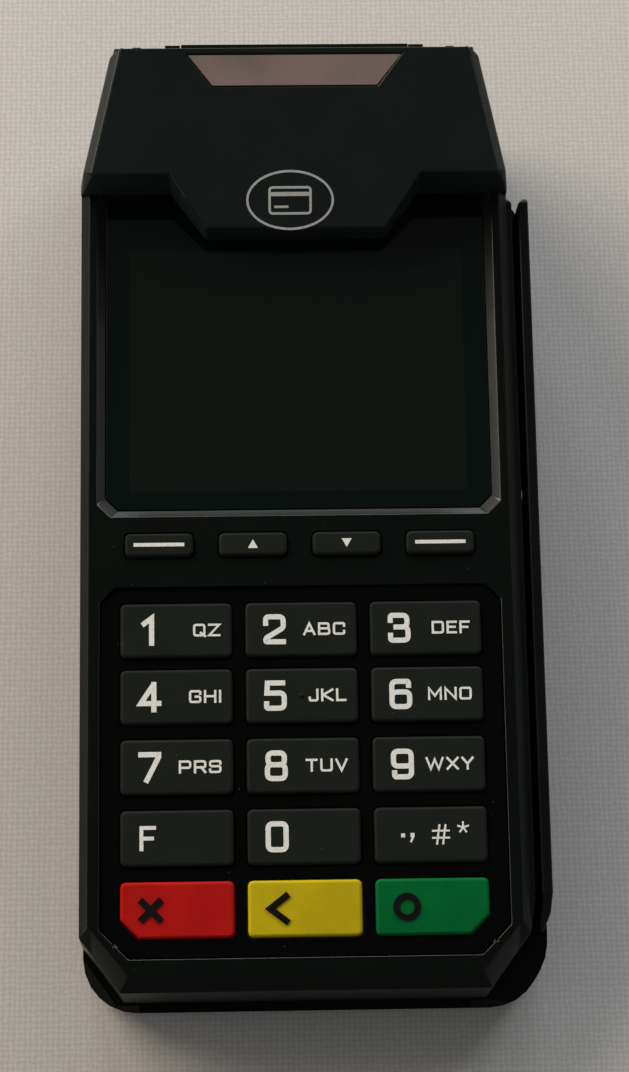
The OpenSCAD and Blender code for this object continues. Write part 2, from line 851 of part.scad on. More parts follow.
module battery_cover() {
    color([0.1, 0.11, 0.11]) in_face() difference() {
        intersection() {
            box([-battery_w / 2 - cover_margin + cover_gap, battery_w / 2 + cover_margin - cover_gap],
                [battery_front - cover_margin + cover_gap, battery_back + cover_margin - cover_gap],
                [-40, battery_top - battery_t - 0.15]);
            across(-50, 50) case_profile();
        }
        // grip grooves behind the latch
        for (i = [0 : grip_count - 1])
            across(-grip_half, grip_half) translate([battery_front + 9 + i * grip_pitch, 0])
                polygon([
                    [-grip_w / 2, grip_n - 5], [grip_w / 2, grip_n - 5],
                    [grip_w / 2, grip_n - grip_cut], [0, grip_n], [-grip_w / 2, grip_n - grip_cut]
                ]);
    }
}

module cover_latch() {
    color([0.16, 0.16, 0.17]) in_face()
        box([-7, 7], [battery_front + 1, battery_front + 5],
            [battery_top - battery_t - 2.6, battery_top - battery_t - 2]);
}

module thermal_head() {
    color([0.72, 0.72, 0.74]) in_face() translate([0, head_v, head_n]) rotate([path_angle, 0, 0])
        difference() {
            box([-head_half, head_half], [-3.5, 2], [0.15, 2.4]);
            // grooves between the cooling fins
            for (x = [-head_half + fin_pitch / 2 : fin_pitch : head_half - 1])
                box([x, x + fin_pitch / 2], [-4, 3], [1.3, 3]);
        }
}

module printer_frame() {
    color([0.3, 0.3, 0.32]) in_face() union() {
        difference() {
            box([-frame_half, frame_half], [wing_v + hood_wall + 0.1, 43], [frame_n - frame_t, frame_n]);
            box([-gear_out - 0.3, -gear_in + 0.3], [motor_v - 2.2, 44],
                [frame_n - frame_t - 1, frame_n + 1]);
        }
        for (x = [[-head_half, 2.5 - head_half], [6, head_half - 0.5]])
            across(x[0], x[1]) polygon([
                [39.5, frame_n - eps], [40.5, frame_n - eps], [40.5, 8], [39.5, 8.7]
            ]);
        for (s = [-1, 1])
            box(s > 0 ? [frame_half, plan_half(40) - wall - 0.4]
                : [-plan_half(40) + wall + 0.4, -frame_half],
                [wing_v + hood_wall + 0.1, 40], [-4, frame_n]);
    }
}

module gear_ring(teeth, width) {
    pitch_r = teeth * gear_mod / 2;
    root_r = pitch_r - 1.2 * gear_mod;
    tip_r = pitch_r + 0.9 * gear_mod;
    step = 360 / teeth;
    linear_extrude(width)
        polygon([for (i = [0 : teeth - 1]) each [
            for (p = [[root_r, -0.32], [pitch_r, -0.22], [tip_r, -0.11],
                      [tip_r, 0.11], [pitch_r, 0.22], [root_r, 0.32]])
                [p[0] * cos((i + p[1]) * step), p[0] * sin((i + p[1]) * step)]
        ]]);
}

module place_gear(v, n, turn) {
    translate([-gear_out, v, n])
        rotate([90, 0, 90])
            rotate([0, 0, turn])
                children();
}

module platen_roller() {
    color([0.15, 0.15, 0.15]) in_face() union() {
        rod(platen_v, platen_n, -platen_half, platen_half, platen_r);
        rod(platen_v, platen_n, -gear_out, arm_out + 0.2, shaft_r, $fn = small_fn);
    }
}

module platen_gear() {
    color([0.85, 0.85, 0.8]) in_face() difference() {
        place_gear(platen_v, platen_n, motor_angle) gear_ring(platen_teeth, gear_w);
        rod(platen_v, platen_n, -gear_out - 1, -gear_in + 1, shaft_r + press_fit / 2);
    }
}

module motor_pinion() {
    color([0.8, 0.75, 0.5]) in_face() difference() {
        place_gear(motor_v, motor_n, motor_angle + 180 + 180 / pinion_teeth)
            gear_ring(pinion_teeth, gear_w);
        rod(motor_v, motor_n, -gear_out - 1, -gear_in + 1, motor_shaft_r + press_fit);
    }
}

module paper_motor() {
    color([0.55, 0.55, 0.58]) in_face() union() {
        rod(motor_v, motor_n, -20, -4, motor_r);
        rod(motor_v, motor_n, -gear_out, -20 + eps, motor_shaft_r);
    }
}

roll_n = bay_n - (bay_r - roll_r - 0.3);

module paper_roll() {
    color([0.93, 0.93, 0.9]) in_face() difference() {
        rod(bay_v, roll_n, -roll_w / 2, roll_w / 2, roll_r);
        rod(bay_v, roll_n, -roll_w, roll_w, 6.55);
    }
}

module paper_core() {
    color([0.6, 0.48, 0.33]) in_face() difference() {
        rod(bay_v, roll_n, -roll_w / 2, roll_w / 2, 6.5);
        rod(bay_v, roll_n, -roll_w, roll_w, 5.5);
    }
}

// Side view of the door: from its top edge down over the back to the hinge
module door_profile(top, reach) {
    polygon([
        [door_v - reach, door_top + top], [door_v + 0.8, door_top + top], [door_v + 3.5, 12.4],
        [taper_end + 0.4, 0], [taper_end + 2.4, -6], [hinge_v + barrel_r, hinge_n],
        [hinge_v + 1.5, hinge_n - 1.6], [hinge_v, hinge_n - barrel_r - reach],
        [door_v + (reach > 0 ? -reach : 0.6), hinge_n - barrel_r - reach], [door_v - reach, hinge_n]
    ]);
}

module door_body(inset, top, reach) {
    intersection() {
        across(-40, 40) offset(delta = -inset) door_profile(top, reach);
        hull() {
            slab(case_step + 0.3, case_step + 0.31) door_plan(inset, 0);
            slab(0, eps) door_plan(inset, 0);
            slab(door_knee, door_knee + eps) door_plan(inset, door_draft(door_knee));
            slab(door_knee + 5, door_knee + 5 + eps)
                door_plan(inset, door_draft(door_knee + 5) + door_corner);
        }
    }
}

module door_plan(inset, draw_in) {
    near = plan_half(door_v - 9) - inset - draw_in;
    far = plan_half(taper_end) - inset - draw_in;
    polygon([
        [-near, door_v - 9], [near, door_v - 9], [far, taper_end], [far - 2, taper_end + 3],
        [2 - far, taper_end + 3], [-far, taper_end]
    ]);
}

lever_half = 19;
lever_v = 50;
lever_n = 15.6;
lever_pin_r = 0.8;
lever_lip = 19.8;

module paper_door() {
    color([0.08, 0.09, 0.09]) in_face() difference() {
        union() {
            difference() {
                door_body(0, 0, 0);
                door_body(door_t, 9, 9);
            }
            rod(hinge_v, hinge_n, -knuckle_in + 0.3, knuckle_in - 0.3, barrel_r, $fn = small_fn);
            // arms that carry the platen
            for (x = [[-arm_out, -arm_in], [arm_in, arm_out]]) {
                box(x, [platen_v, 54], [platen_n - arm_r + 0.4, platen_n + arm_r - 0.4]);
                rod(platen_v, platen_n, x[0], x[1], arm_r, $fn = small_fn);
            }
            // ears of the release lever
            for (s = [-1, 1])
                box(s > 0 ? [lever_half + 0.3, lever_half + 2.8] : [-lever_half - 2.8, -lever_half - 0.3],
                    [lever_v - 1.4, lever_v + 1.5], [lever_n - 1.4, lever_n + 1.4]);
        }
        rod(hinge_v, hinge_n, -knuckle_in, knuckle_in, pin_r + run_fit, $fn = small_fn);
        rod(platen_v, platen_n, -arm_out - 1, arm_out + 1, shaft_r + run_fit, $fn = small_fn);
        rod(lever_v, lever_n, -lever_half - 2.2, lever_half + 2.2, lever_pin_r + run_fit, $fn = small_fn);
        // notch of the lever
        box([-lever_half - 0.3, lever_half + 0.3], [40, 60], [lever_n - 1.2, 30]);
        // clearance round the knuckles
        for (x = [[-knuckle_out - 0.3, -knuckle_in + 0.3], [knuckle_in - 0.3, knuckle_out + 0.3]])
            rod(hinge_v, hinge_n, x[0], x[1], barrel_r + 0.6, $fn = small_fn);
    }
}

module door_hinge_pin() {
    color([0.75, 0.75, 0.77]) in_face()
        rod(hinge_v, hinge_n, -knuckle_out + 0.2, knuckle_out - 0.2, pin_r);
}

module release_lever() {
    color([0.1, 0.1, 0.1]) in_face() union() {
        across(-lever_half, lever_half) polygon([
            [lever_v - 0.8, lever_n - 0.8], [lever_v + 1.1, lever_n - 0.8], [lever_v + 1.3, lever_n + 1],
            [lever_v + 0.5, lever_n + 2.9], [lever_v + 0.4, lever_lip], [lever_v - 0.3, lever_lip],
            [lever_v - 0.4, lever_n + 3], [lever_v - 0.8, lever_n + 1.4]
        ]);
        rod(lever_v, lever_n, -lever_half - 2, lever_half + 2, lever_pin_r, $fn = small_fn);
    }
}

module tear_bar() {
    step = 1.2;
    teeth = floor((roll_w - 4) / step);
    edge = hood_back - 2.2;
    low = hood_n(edge - 4.5) - 3;
    color([0.7, 0.7, 0.72]) in_face() union() {
        box([-teeth * step / 2, teeth * step / 2], [edge - 4.5, edge], [low, low + 0.4]);
        slab(low, low + 0.4)
            for (i = [0 : teeth - 1])
                translate([(i - teeth / 2) * step, edge - eps])
                    polygon([[0.05, 0], [step - 0.05, 0], [step / 2, 0.9]]);
    }
}

module antenna_board() {
    color([0.1, 0.35, 0.2]) in_face() difference() {
        box([-notch_x, notch_x], [-lcd_front + 0.5, board_back - 0.5], [lcd_n - 0.9, lcd_n - 0.1]);
        box([-26, 26], [-lcd_front - 1, board_back - 8], [lcd_n - 2, lcd_n + 1]);
    }
}

module speaker() {
    color([0.3, 0.3, 0.3]) in_face() difference() {
        union() {
            box([speaker_x - speaker_r - 1.5, speaker_x + speaker_r + 1.5],
                [speaker_v - speaker_r, speaker_v + speaker_r], [tray_n, tray_n + 1]);
            translate([speaker_x, speaker_v, tray_n])
                cylinder(r = speaker_r - 0.4, h = main_board_n - board_t - tray_n);
        }
        translate([speaker_x, speaker_v, tray_n - eps]) cylinder(r1 = speaker_r - 0.8, r2 = 2, h = 2.4);
    }
}

module usb_socket() {
    color([0.7, 0.7, 0.72]) in_face() difference() {
        box([-half_w + wall + 0.1, -half_w + wall + 6], [-8, 0], [tray_n, tray_n + 2.9]);
        box([-half_w, -half_w + wall + 5.5], [-7.4, -0.6], [tray_n + 0.4, tray_n + 2.5]);
    }
}

module usb_flap() {
    color([0.15, 0.15, 0.15]) in_face() union() {
        box([-half_w, -half_w + 0.8], [-9.6, 1.6], [-split - 3.6, -split - 0.05]);
        rod_v(-half_w + 0.9, -split - 3.4, -9.6, 1.6, 0.5);
    }
}

module rod_v(x, n, v_from, v_to, r) {
    translate([x, v_from, n])
        rotate([-90, 0, 0])
            cylinder(r = r, h = v_to - v_from);
}

module charging_contacts() {
    color([0.85, 0.7, 0.3]) in_face()
        for (i = [-1 : 1])
            box([i * 6 - 2, i * 6 + 2], [rear_v - 2.5, rear_v - 1.4], [-24.6, -22.4]);
}

module sam_sockets() {
    color([0.75, 0.75, 0.78]) in_face()
        for (x = [-26, -8, 10])
            box([x, x + 15], [-12, 4], [tray_n, tray_n + 2]);
}

module coin_cell() {
    color([0.75, 0.75, 0.75]) in_face()
        translate([-18, 8.5, main_board_n]) cylinder(r = 3.4, h = 0.9);
}

// Self-tapping screws with a cross recess
module case_screws() {
    color([0.6, 0.6, 0.62]) in_face() screws_at() difference() {
        union() {
            translate([0, 0, -screw_seat - screw_head_h]) cylinder(r = screw_head_r, h = screw_head_h);
            translate([0, 0, -screw_seat - eps]) cylinder(r = screw_r, h = screw_seat - split + 4);
        }
        for (turn = [0, 90])
            rotate([0, 0, turn])
                box([-screw_head_r * 0.6, screw_head_r * 0.6], [-0.3, 0.3],
                    [-screw_seat - screw_head_h - 1, -screw_seat - screw_head_h + 0.8]);
    }
}

upper_housing();
hood_cover();
badge_plate();
display_lens();
lcd_module();
display_flex();
keypad_bezel();
dome_sheet();
keypad_pcb();
main_pcb();
for (name = concat(FN_KEYS, [for (row = PAD_KEYS) each row]))
    key_shape(name);
smart_card_reader();
magstripe_head();
head_spring();
swipe_rail();
lower_case();
battery_pack();
battery_contacts();
battery_cover();
cover_latch();
thermal_head();
printer_frame();
platen_roller();
platen_gear();
paper_motor();
motor_pinion();
paper_roll();
paper_core();
paper_door();
door_hinge_pin();
release_lever();
tear_bar();
antenna_board();
speaker();
usb_socket();
usb_flap();
charging_contacts();
sam_sockets();
coin_cell();
case_screws();
feet();
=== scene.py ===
import json
import math

import bpy
from mathutils import Matrix, Vector


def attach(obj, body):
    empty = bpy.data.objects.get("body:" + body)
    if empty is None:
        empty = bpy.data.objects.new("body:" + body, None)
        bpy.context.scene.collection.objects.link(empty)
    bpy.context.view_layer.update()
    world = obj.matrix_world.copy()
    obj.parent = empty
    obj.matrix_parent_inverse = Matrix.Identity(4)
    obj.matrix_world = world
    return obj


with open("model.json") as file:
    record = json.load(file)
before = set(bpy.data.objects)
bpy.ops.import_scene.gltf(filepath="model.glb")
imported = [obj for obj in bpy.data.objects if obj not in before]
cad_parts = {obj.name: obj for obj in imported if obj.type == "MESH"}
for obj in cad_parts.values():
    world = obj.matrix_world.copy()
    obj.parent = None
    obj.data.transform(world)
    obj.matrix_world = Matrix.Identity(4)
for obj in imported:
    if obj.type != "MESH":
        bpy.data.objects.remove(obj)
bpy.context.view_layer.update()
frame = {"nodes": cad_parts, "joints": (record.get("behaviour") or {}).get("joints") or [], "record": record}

# Sizes below are in millimetres, unless a comment says otherwise.
MM = 0.001
NODES = frame["nodes"]
JOINTS = {joint["name"]: joint for joint in frame["joints"]}

# The keypad face leans back by this angle; the keys travel along its normal. The face frame has X
# across the keypad, Y up along it and Z out of it.
FACE_TILT = math.asin(JOINTS["key_5_press"]["axis"][1])
FACE_TURN = Matrix.Rotation(FACE_TILT, 4, "X")
FACE_TO_SCENE = FACE_TURN @ Matrix.Scale(MM, 4)

FUNCTION_KEYS = ["key_menu_left", "key_up", "key_down", "key_menu_right"]
NUMBER_KEYS = [f"key_{name}" for name in ("1", "2", "3", "4", "5", "6", "7", "8", "9", "f", "0", "symbols")]
COLOUR_KEYS = ["key_cancel", "key_clear", "key_enter"]

# Display: distance of its centre from the lens's front edge, half sizes of its field and half width of
# the field's soft rim, and height of its plane over the keypad bezel
LENS_TO_CENTRE = 24.7
SCREEN_HALF = (28.8, 21.6)
SCREEN_RIM = 0.08
SCREEN_OVER_BEZEL = 0.9

# The hood's top is its largest face that runs straight across and leans towards the keypad: the most
# that its normal looks sideways, the range of its look forwards, and the least that it looks up
HOOD_SIDEWAYS = 0.01
HOOD_FORWARDS = (0.3, 0.8)
HOOD_UP = 0.5


def deselect():
    """Empty the selection, so that the next step works on its own piece."""
    bpy.ops.object.select_all(action="DESELECT")


def face_box(node):
    """Lowest and highest corner of a node in the face frame."""
    to_face = FACE_TO_SCENE.inverted()
    points = [to_face @ vertex.co for vertex in NODES[node].data.vertices]
    low = Vector([min(point[axis] for point in points) for axis in range(3)])
    high = Vector([max(point[axis] for point in points) for axis in range(3)])
    return low, high


LENS_LOW, LENS_HIGH = face_box("display_lens")
SCREEN_CENTRE = Vector((
    (LENS_LOW.x + LENS_HIGH.x) / 2,
    LENS_LOW.y + LENS_TO_CENTRE,
    face_box("keypad_bezel")[1].z + SCREEN_OVER_BEZEL,
))


def hood_plane():
    """Slope of the hood's top in the face frame, and its height above the display's centre."""
    to_face = FACE_TO_SCENE.inverted()
    turn_back = FACE_TURN.inverted().to_3x3()
    tops = []
    for polygon in NODES["hood_cover"].data.polygons:
        normal = turn_back @ polygon.normal
        leans = HOOD_FORWARDS[0] < -normal.y < HOOD_FORWARDS[1] and normal.z > HOOD_UP
        if leans and abs(normal.x) < HOOD_SIDEWAYS:
            tops.append((polygon.area, normal, to_face @ polygon.center))
    _, normal, point = max(tops, key=lambda top: top[0])
    slope = math.atan2(-normal.y, normal.z)
    return slope, point.z + (SCREEN_CENTRE.y - point.y) * math.tan(slope)


HOOD_SLOPE, HOOD_AT_CENTRE = hood_plane()


# ---------------------------------------------------------------- shader nodes and groups

def fill(tree, socket, value):
    """Set a socket to a number, colour or vector, or join it to another node's output."""
    if isinstance(value, bpy.types.NodeSocket):
        tree.links.new(value, socket)
    elif socket.type == "RGBA":
        socket.default_value = (*value, 1.0)
    else:
        socket.default_value = value


def feed(tree, node, **sockets):
    """Fill several sockets of a node; an underscore in a name stands for a space."""
    for label, value in sockets.items():
        fill(tree, node.inputs[label.replace("_", " ")], value)


def noise(tree, vector, scale, detail=2.0, roughness=0.5):
    """Value of a cloudy pattern."""
    node = tree.nodes.new("ShaderNodeTexNoise")
    feed(tree, node, Vector=vector, Scale=scale, Detail=detail, Roughness=roughness)
    return node.outputs["Fac"]


def remap(tree, value, low, high, to_low=0.0, to_high=1.0):
    """Carry a value from one range over to another, with soft ends."""
    node = tree.nodes.new("ShaderNodeMapRange")
    node.interpolation_type = "SMOOTHSTEP"
    feed(tree, node, Value=value, From_Min=low, From_Max=high, To_Min=to_low, To_Max=to_high)
    return node.outputs["Result"]


def spread(tree, pattern, to_low=0.0, to_high=1.0):
    """Stretch the middle of a cloudy pattern, where most of its values lie, over a range."""
    return remap(tree, pattern, 0.3, 0.7, to_low, to_high)


def maths(tree, operation, first, second=None):
    """Result of one operation on one or two values."""
    node = tree.nodes.new("ShaderNodeMath")
    node.operation = operation
    fill(tree, node.inputs[0], first)
    if second is not None:
        fill(tree, node.inputs[1], second)
    return node.outputs[0]


def blend_colour(tree, factor, first, second):
    """Colour that goes from the first to the second as the factor rises."""
    node = tree.nodes.new("ShaderNodeMix")
    node.data_type = "RGBA"
    for label, value in (("Factor", factor), ("A", first), ("B", second)):
        fill(tree, next(socket for socket in node.inputs if socket.name == label and socket.enabled), value)
    return next(socket for socket in node.outputs if socket.enabled)


def shade(colour, factor):
    """Lighter or darker tone of a colour."""
    return tuple(min(1.0, part * factor) for part in colour)


def new_group(name, inputs, outputs):
    """Empty shader group that puts out values; an input with no starting value is a vector."""
    group = bpy.data.node_groups.new(name, "ShaderNodeTree")
    for label, value in inputs.items():
        kind = "NodeSocketVector" if value is None else "NodeSocketFloat"
        socket = group.interface.new_socket(label, in_out="INPUT", socket_type=kind)
        if value is not None:
            socket.default_value = value
    for label in outputs:
        group.interface.new_socket(label, in_out="OUTPUT", socket_type="NodeSocketFloat")
    return group, group.nodes.new("NodeGroupInput").outputs, group.nodes.new("NodeGroupOutput")


def grain_group():
    """Fine moulded grain: a height for bump and a slow mottle for colour and gloss."""
    inputs = {"Vector": None, "Grain Scale": 4000.0, "Mottle Scale": 120.0}
    group, given, leave = new_group("moulded_grain", inputs, ["Height", "Mottle"])
    fine = noise(group, given["Vector"], scale=given["Grain Scale"], detail=1.0)
    slow = noise(group, given["Vector"], scale=given["Mottle Scale"], detail=4.0, roughness=0.6)
    feed(group, leave, Height=fine, Mottle=spread(group, slow))
    return group


def dust_group():
    """Pale specks and a faint film of handling on dark plastic."""
    inputs = {"Vector": None, "Speck Scale": 900.0, "Speck Size": 0.16}
    group, given, leave = new_group("dust_and_film", inputs, ["Specks", "Film"])
    vector = given["Vector"]
    cells = group.nodes.new("ShaderNodeTexVoronoi")
    feed(group, cells, Vector=vector, Scale=given["Speck Scale"])
    near = remap(group, cells.outputs["Distance"], 0.0, given["Speck Size"], 1.0, 0.0)
    where = remap(group, noise(group, vector, scale=260.0, detail=3.0), 0.62, 0.74)
    film = remap(group, noise(group, vector, scale=45.0, detail=5.0, roughness=0.65), 0.35, 0.75)
    feed(group, leave, Specks=maths(group, "MULTIPLY", near, where), Film=film)
    return group


# Cosines between which the mask of edges fades: towards the keypad's face, towards the walls, and
# towards the front
FACE_FADE = (0.82, 0.93)
WALL_FADE = (0.2, 0.45)
FRONT_FADE = (-0.6, -0.25)


def edge_group():
    """Mask of the chamfers and rounded edges, where handling polishes the plastic and where a highlight is
    painted as a paler tone: their normals lie between that of the keypad's face and those of the walls, and
    don't look to the front."""
    group, given, leave = new_group("polished_and_highlit_edges", {"Normal": None}, ["Edge"])
    across = group.nodes.new("ShaderNodeVectorMath")
    across.operation = "DOT_PRODUCT"
    fill(group, across.inputs[0], given["Normal"])
    fill(group, across.inputs[1], FACE_TURN.to_3x3() @ Vector((0, 0, 1)))
    upright = across.outputs["Value"]
    split = group.nodes.new("ShaderNodeSeparateXYZ")
    feed(group, split, Vector=given["Normal"])
    off_face = remap(group, upright, *FACE_FADE, 1.0, 0.0)
    off_wall = remap(group, upright, *WALL_FADE)
    off_front = remap(group, split.outputs["Y"], *FRONT_FADE)
    slanting = maths(group, "MULTIPLY", off_face, off_wall)
    feed(group, leave, Edge=maths(group, "MULTIPLY", slanting, off_front))
    return group


GRAIN = grain_group()
DUST = dust_group()
EDGE = edge_group()


def use_group(tree, group, **sockets):
    """Outputs of a group that is placed in a tree."""
    node = tree.nodes.new("ShaderNodeGroup")
    node.node_tree = group
    feed(tree, node, **sockets)
    return node.outputs


def edge_mask(tree):
    """The mask of polished edges, which also carry a painted highlight, for the piece that wears the
    material.
    """
    return use_group(tree, EDGE, Normal=tree.nodes.new("ShaderNodeTexCoord").outputs["Normal"])["Edge"]


# ---------------------------------------------------------------- materials

def new_material(name):
    """Empty material, with its tree, its shader and the place on the piece."""
    material = bpy.data.materials.new(name)
    material.use_nodes = True
    tree = material.node_tree
    place = tree.nodes.new("ShaderNodeTexCoord").outputs["Object"]
    return material, tree, tree.nodes["Principled BSDF"], place


def add_bump(tree, shader, height, strength, depth):
    """Fine relief of a given strength and depth."""
    bump = tree.nodes.new("ShaderNodeBump")
    feed(tree, bump, Height=height, Strength=strength, Distance=depth * MM)
    feed(tree, shader, Normal=bump.outputs["Normal"])


def polish_edges(tree, shader, edge):
    """A clear gloss on the edges alone."""
    feed(tree, shader, Coat_Weight=edge, Coat_Roughness=0.16)


# Width over which the gloss and the painted highlight of the edges fade at the outer edges, and the part of
# them that is left there
FADE_WIDTH = 0.8
OUTER_POLISH_AND_HIGHLIGHT = 0.2


def fade_outside(tree, place, value, half):
    """Lower a value beyond a half width from the display's middle line."""
    split = tree.nodes.new("ShaderNodeSeparateXYZ")
    feed(tree, split, Vector=place)
    offset = maths(tree, "ABSOLUTE", maths(tree, "SUBTRACT", split.outputs["X"], SCREEN_CENTRE.x * MM))
    kept = remap(tree, offset, half * MM, (half + FADE_WIDTH) * MM, 1.0, OUTER_POLISH_AND_HIGHLIGHT)
    return maths(tree, "MULTIPLY", value, kept)


# Painted highlight on the edges of black plastic, as a paler tone; painted highlight on the lens's chamfered
# edges; and tones of the dust on plastic and on the lens
EDGE_HIGHLIGHT_TONE = (0.024, 0.026, 0.024)
LENS_EDGE_HIGHLIGHT_TONE = (0.046, 0.049, 0.04)
DUST_TONE = (0.42, 0.42, 0.4)
LENS_DUST_TONE = (0.3, 0.3, 0.28)


# Moulded plastic: the darker and the paler part of its mottle and its film of handling, as parts of the
# colour; how much the film shows; how far the gloss goes below and above its mean; depth of the grain
MOTTLE = (0.92, 1.08)
FILM_TONE = 2.0
FILM_SHOWS = 0.12
GLOSS_SPREAD = (0.02, 0.03)
GRAIN_DEPTH = 0.12


def moulded_plastic(name, colour, roughness, grain=4200.0, relief=0.2, dust=0.25, specular=0.3, polish_and_highlight=0.0,
                    inner=None):
    """Moulded plastic with a fine grain, a slow mottle, a handling film and specks of dust. Its edges get a
    clear gloss and a painted highlight, a paler tone, as strong as polish_and_highlight; these fade outside
    the half width inner, where one is given."""
    material, tree, shader, place = new_material(name)
    grained = use_group(tree, GRAIN, Vector=place, Grain_Scale=grain)
    dusty = use_group(tree, DUST, Vector=place)
    tone = blend_colour(tree, grained["Mottle"], *(shade(colour, part) for part in MOTTLE))
    film = maths(tree, "MULTIPLY", dusty["Film"], FILM_SHOWS * dust)
    tone = blend_colour(tree, film, tone, shade(colour, FILM_TONE))
    if polish_and_highlight:
        # The scaled edge mask sets both the clear gloss and the painted highlight of the edges
        worn = maths(tree, "MULTIPLY", edge_mask(tree), polish_and_highlight)
        if inner:
            worn = fade_outside(tree, place, worn, inner)
        # Painted highlight: the masked edges are lightened towards a paler tone
        tone = blend_colour(tree, worn, tone, EDGE_HIGHLIGHT_TONE)
        polish_edges(tree, shader, worn)
    specks = maths(tree, "MULTIPLY", dusty["Specks"], dust)
    below, above = GLOSS_SPREAD
    gloss = remap(tree, grained["Mottle"], 0.0, 1.0, roughness - below, roughness + above)
    feed(tree, shader, Base_Color=blend_colour(tree, specks, tone, DUST_TONE), Roughness=gloss,
         Specular_IOR_Level=specular)
    add_bump(tree, shader, grained["Height"], strength=relief, depth=GRAIN_DEPTH)
    return material


def coloured_key(name, colour):
    """Plastic of a coloured key, which shows little dust."""
    return moulded_plastic(name, colour, 0.45, relief=0.24, dust=0.05, specular=0.05)


def painted_metal(name, colour, roughness):
    """Metallic paint with a fine flake and a soft sweep of tone."""
    material, tree, shader, place = new_material(name)
    flake = noise(tree, place, scale=9000.0, detail=1.0)
    sweep = remap(tree, noise(tree, place, scale=70.0, detail=2.0), 0.35, 0.65)
    tone = blend_colour(tree, sweep, shade(colour, 0.85), shade(colour, 1.15))
    glint = remap(tree, flake, 0.55, 0.75, 0.0, 0.35)
    feed(tree, shader, Base_Color=blend_colour(tree, glint, tone, shade(colour, 1.6)), Metallic=0.45,
         Roughness=spread(tree, flake, roughness - 0.08, roughness + 0.1))
    add_bump(tree, shader, flake, strength=0.15, depth=0.04)
    return material


def plain_metal(name, colour, roughness):
    """Bare metal with faint lines from rolling or drawing."""
    material, tree, shader, place = new_material(name)
    stretch = tree.nodes.new("ShaderNodeMapping")
    feed(tree, stretch, Vector=place, Scale=(900.0, 20.0, 900.0))
    lines = noise(tree, stretch.outputs["Vector"], scale=6.0, detail=3.0)
    feed(tree, shader, Base_Color=blend_colour(tree, spread(tree, lines), shade(colour, 0.8), colour),
         Roughness=spread(tree, lines, roughness - 0.06, roughness + 0.1), Metallic=1.0)
    add_bump(tree, shader, lines, strength=0.2, depth=0.03)
    return material


def screen_mask(tree, place):
    """Mask of the display's field behind the lens."""
    turn_back = Matrix.Rotation(-FACE_TILT, 3, "X")
    face = tree.nodes.new("ShaderNodeMapping")
    face.vector_type = "POINT"
    feed(tree, face, Vector=place, Rotation=(-FACE_TILT, 0.0, 0.0),
         Location=-(turn_back @ (FACE_TO_SCENE @ SCREEN_CENTRE)))
    split = tree.nodes.new("ShaderNodeSeparateXYZ")
    feed(tree, split, Vector=face.outputs["Vector"])
    masks = []
    for axis, half in zip("XY", SCREEN_HALF):
        offset = maths(tree, "ABSOLUTE", split.outputs[axis])
        masks.append(remap(tree, offset, (half - SCREEN_RIM) * MM, (half + SCREEN_RIM) * MM, 1.0, 0.0))
    return maths(tree, "MULTIPLY", *masks)


# Lens: how much the dust and the gloss of the chamfered edges show, and its range of roughness
LENS_DUST = 0.3
LENS_POLISH = 0.9
LENS_GLOSS = (0.06, 0.16)


def lens_glass(name, edge_colour, screen_colour):
    """Dark glossy lens whose chamfered edges carry a clear gloss and a painted highlight, a paler tone; the
    dead display shows through as a slightly paler field.
    """
    material, tree, shader, place = new_material(name)
    base = blend_colour(tree, screen_mask(tree, place), edge_colour, screen_colour)
    # Painted highlight: the lens's chamfered edges are lightened towards a paler tone
    ground = blend_colour(tree, edge_mask(tree), base, LENS_EDGE_HIGHLIGHT_TONE)
    dusty = use_group(tree, DUST, Vector=place, Speck_Scale=1500.0, Speck_Size=0.12)
    specks = maths(tree, "MULTIPLY", dusty["Specks"], LENS_DUST)
    feed(tree, shader, Base_Color=blend_colour(tree, specks, ground, LENS_DUST_TONE),
         Roughness=remap(tree, dusty["Film"], 0.0, 1.0, *LENS_GLOSS), Specular_IOR_Level=0.08)
    polish_edges(tree, shader, maths(tree, "MULTIPLY", edge_mask(tree), LENS_POLISH))
    return material


def legend_ink(name, colour):
    """Matt ink, slightly worn."""
    material, tree, shader, place = new_material(name)
    worn = noise(tree, place, scale=1800.0, detail=3.0)
    tone = blend_colour(tree, remap(tree, worn, 0.3, 0.75), colour, shade(colour, 0.86))
    feed(tree, shader, Base_Color=tone, Roughness=0.5, Specular_IOR_Level=0.06)
    add_bump(tree, shader, worn, strength=0.1, depth=0.03)
    return material


def rubber(name, colour):
    """Dull rubber with a fine grit."""
    material, tree, shader, place = new_material(name)
    grit = noise(tree, place, scale=2600.0, detail=3.0)
    tone = blend_colour(tree, spread(tree, grit), shade(colour, 0.8), shade(colour, 1.3))
    feed(tree, shader, Base_Color=tone, Roughness=spread(tree, grit, 0.7, 0.9))
    add_bump(tree, shader, grit, strength=0.3, depth=0.08)
    return material


def circuit_board(name, colour):
    """Solder mask over a faint pattern of copper areas."""
    material, tree, shader, place = new_material(name)
    cells = tree.nodes.new("ShaderNodeTexBrick")
    feed(tree, cells, Vector=place, Scale=220.0, Mortar_Size=0.04, Color1=shade(colour, 0.9),
         Color2=shade(colour, 1.3), Mortar=shade(colour, 0.6))
    gloss = spread(tree, noise(tree, place, scale=900.0), 0.25, 0.4)
    feed(tree, shader, Base_Color=cells.outputs["Color"], Roughness=gloss)
    return material


def paper(name, colour):
    """Paper or card with short fibres."""
    material, tree, shader, place = new_material(name)
    fibre = noise(tree, place, scale=3200.0, detail=4.0, roughness=0.65)
    tone = blend_colour(tree, spread(tree, fibre), shade(colour, 0.93), colour)
    feed(tree, shader, Base_Color=tone, Roughness=spread(tree, fibre, 0.75, 0.95))
    add_bump(tree, shader, fibre, strength=0.2, depth=0.03)
    return material


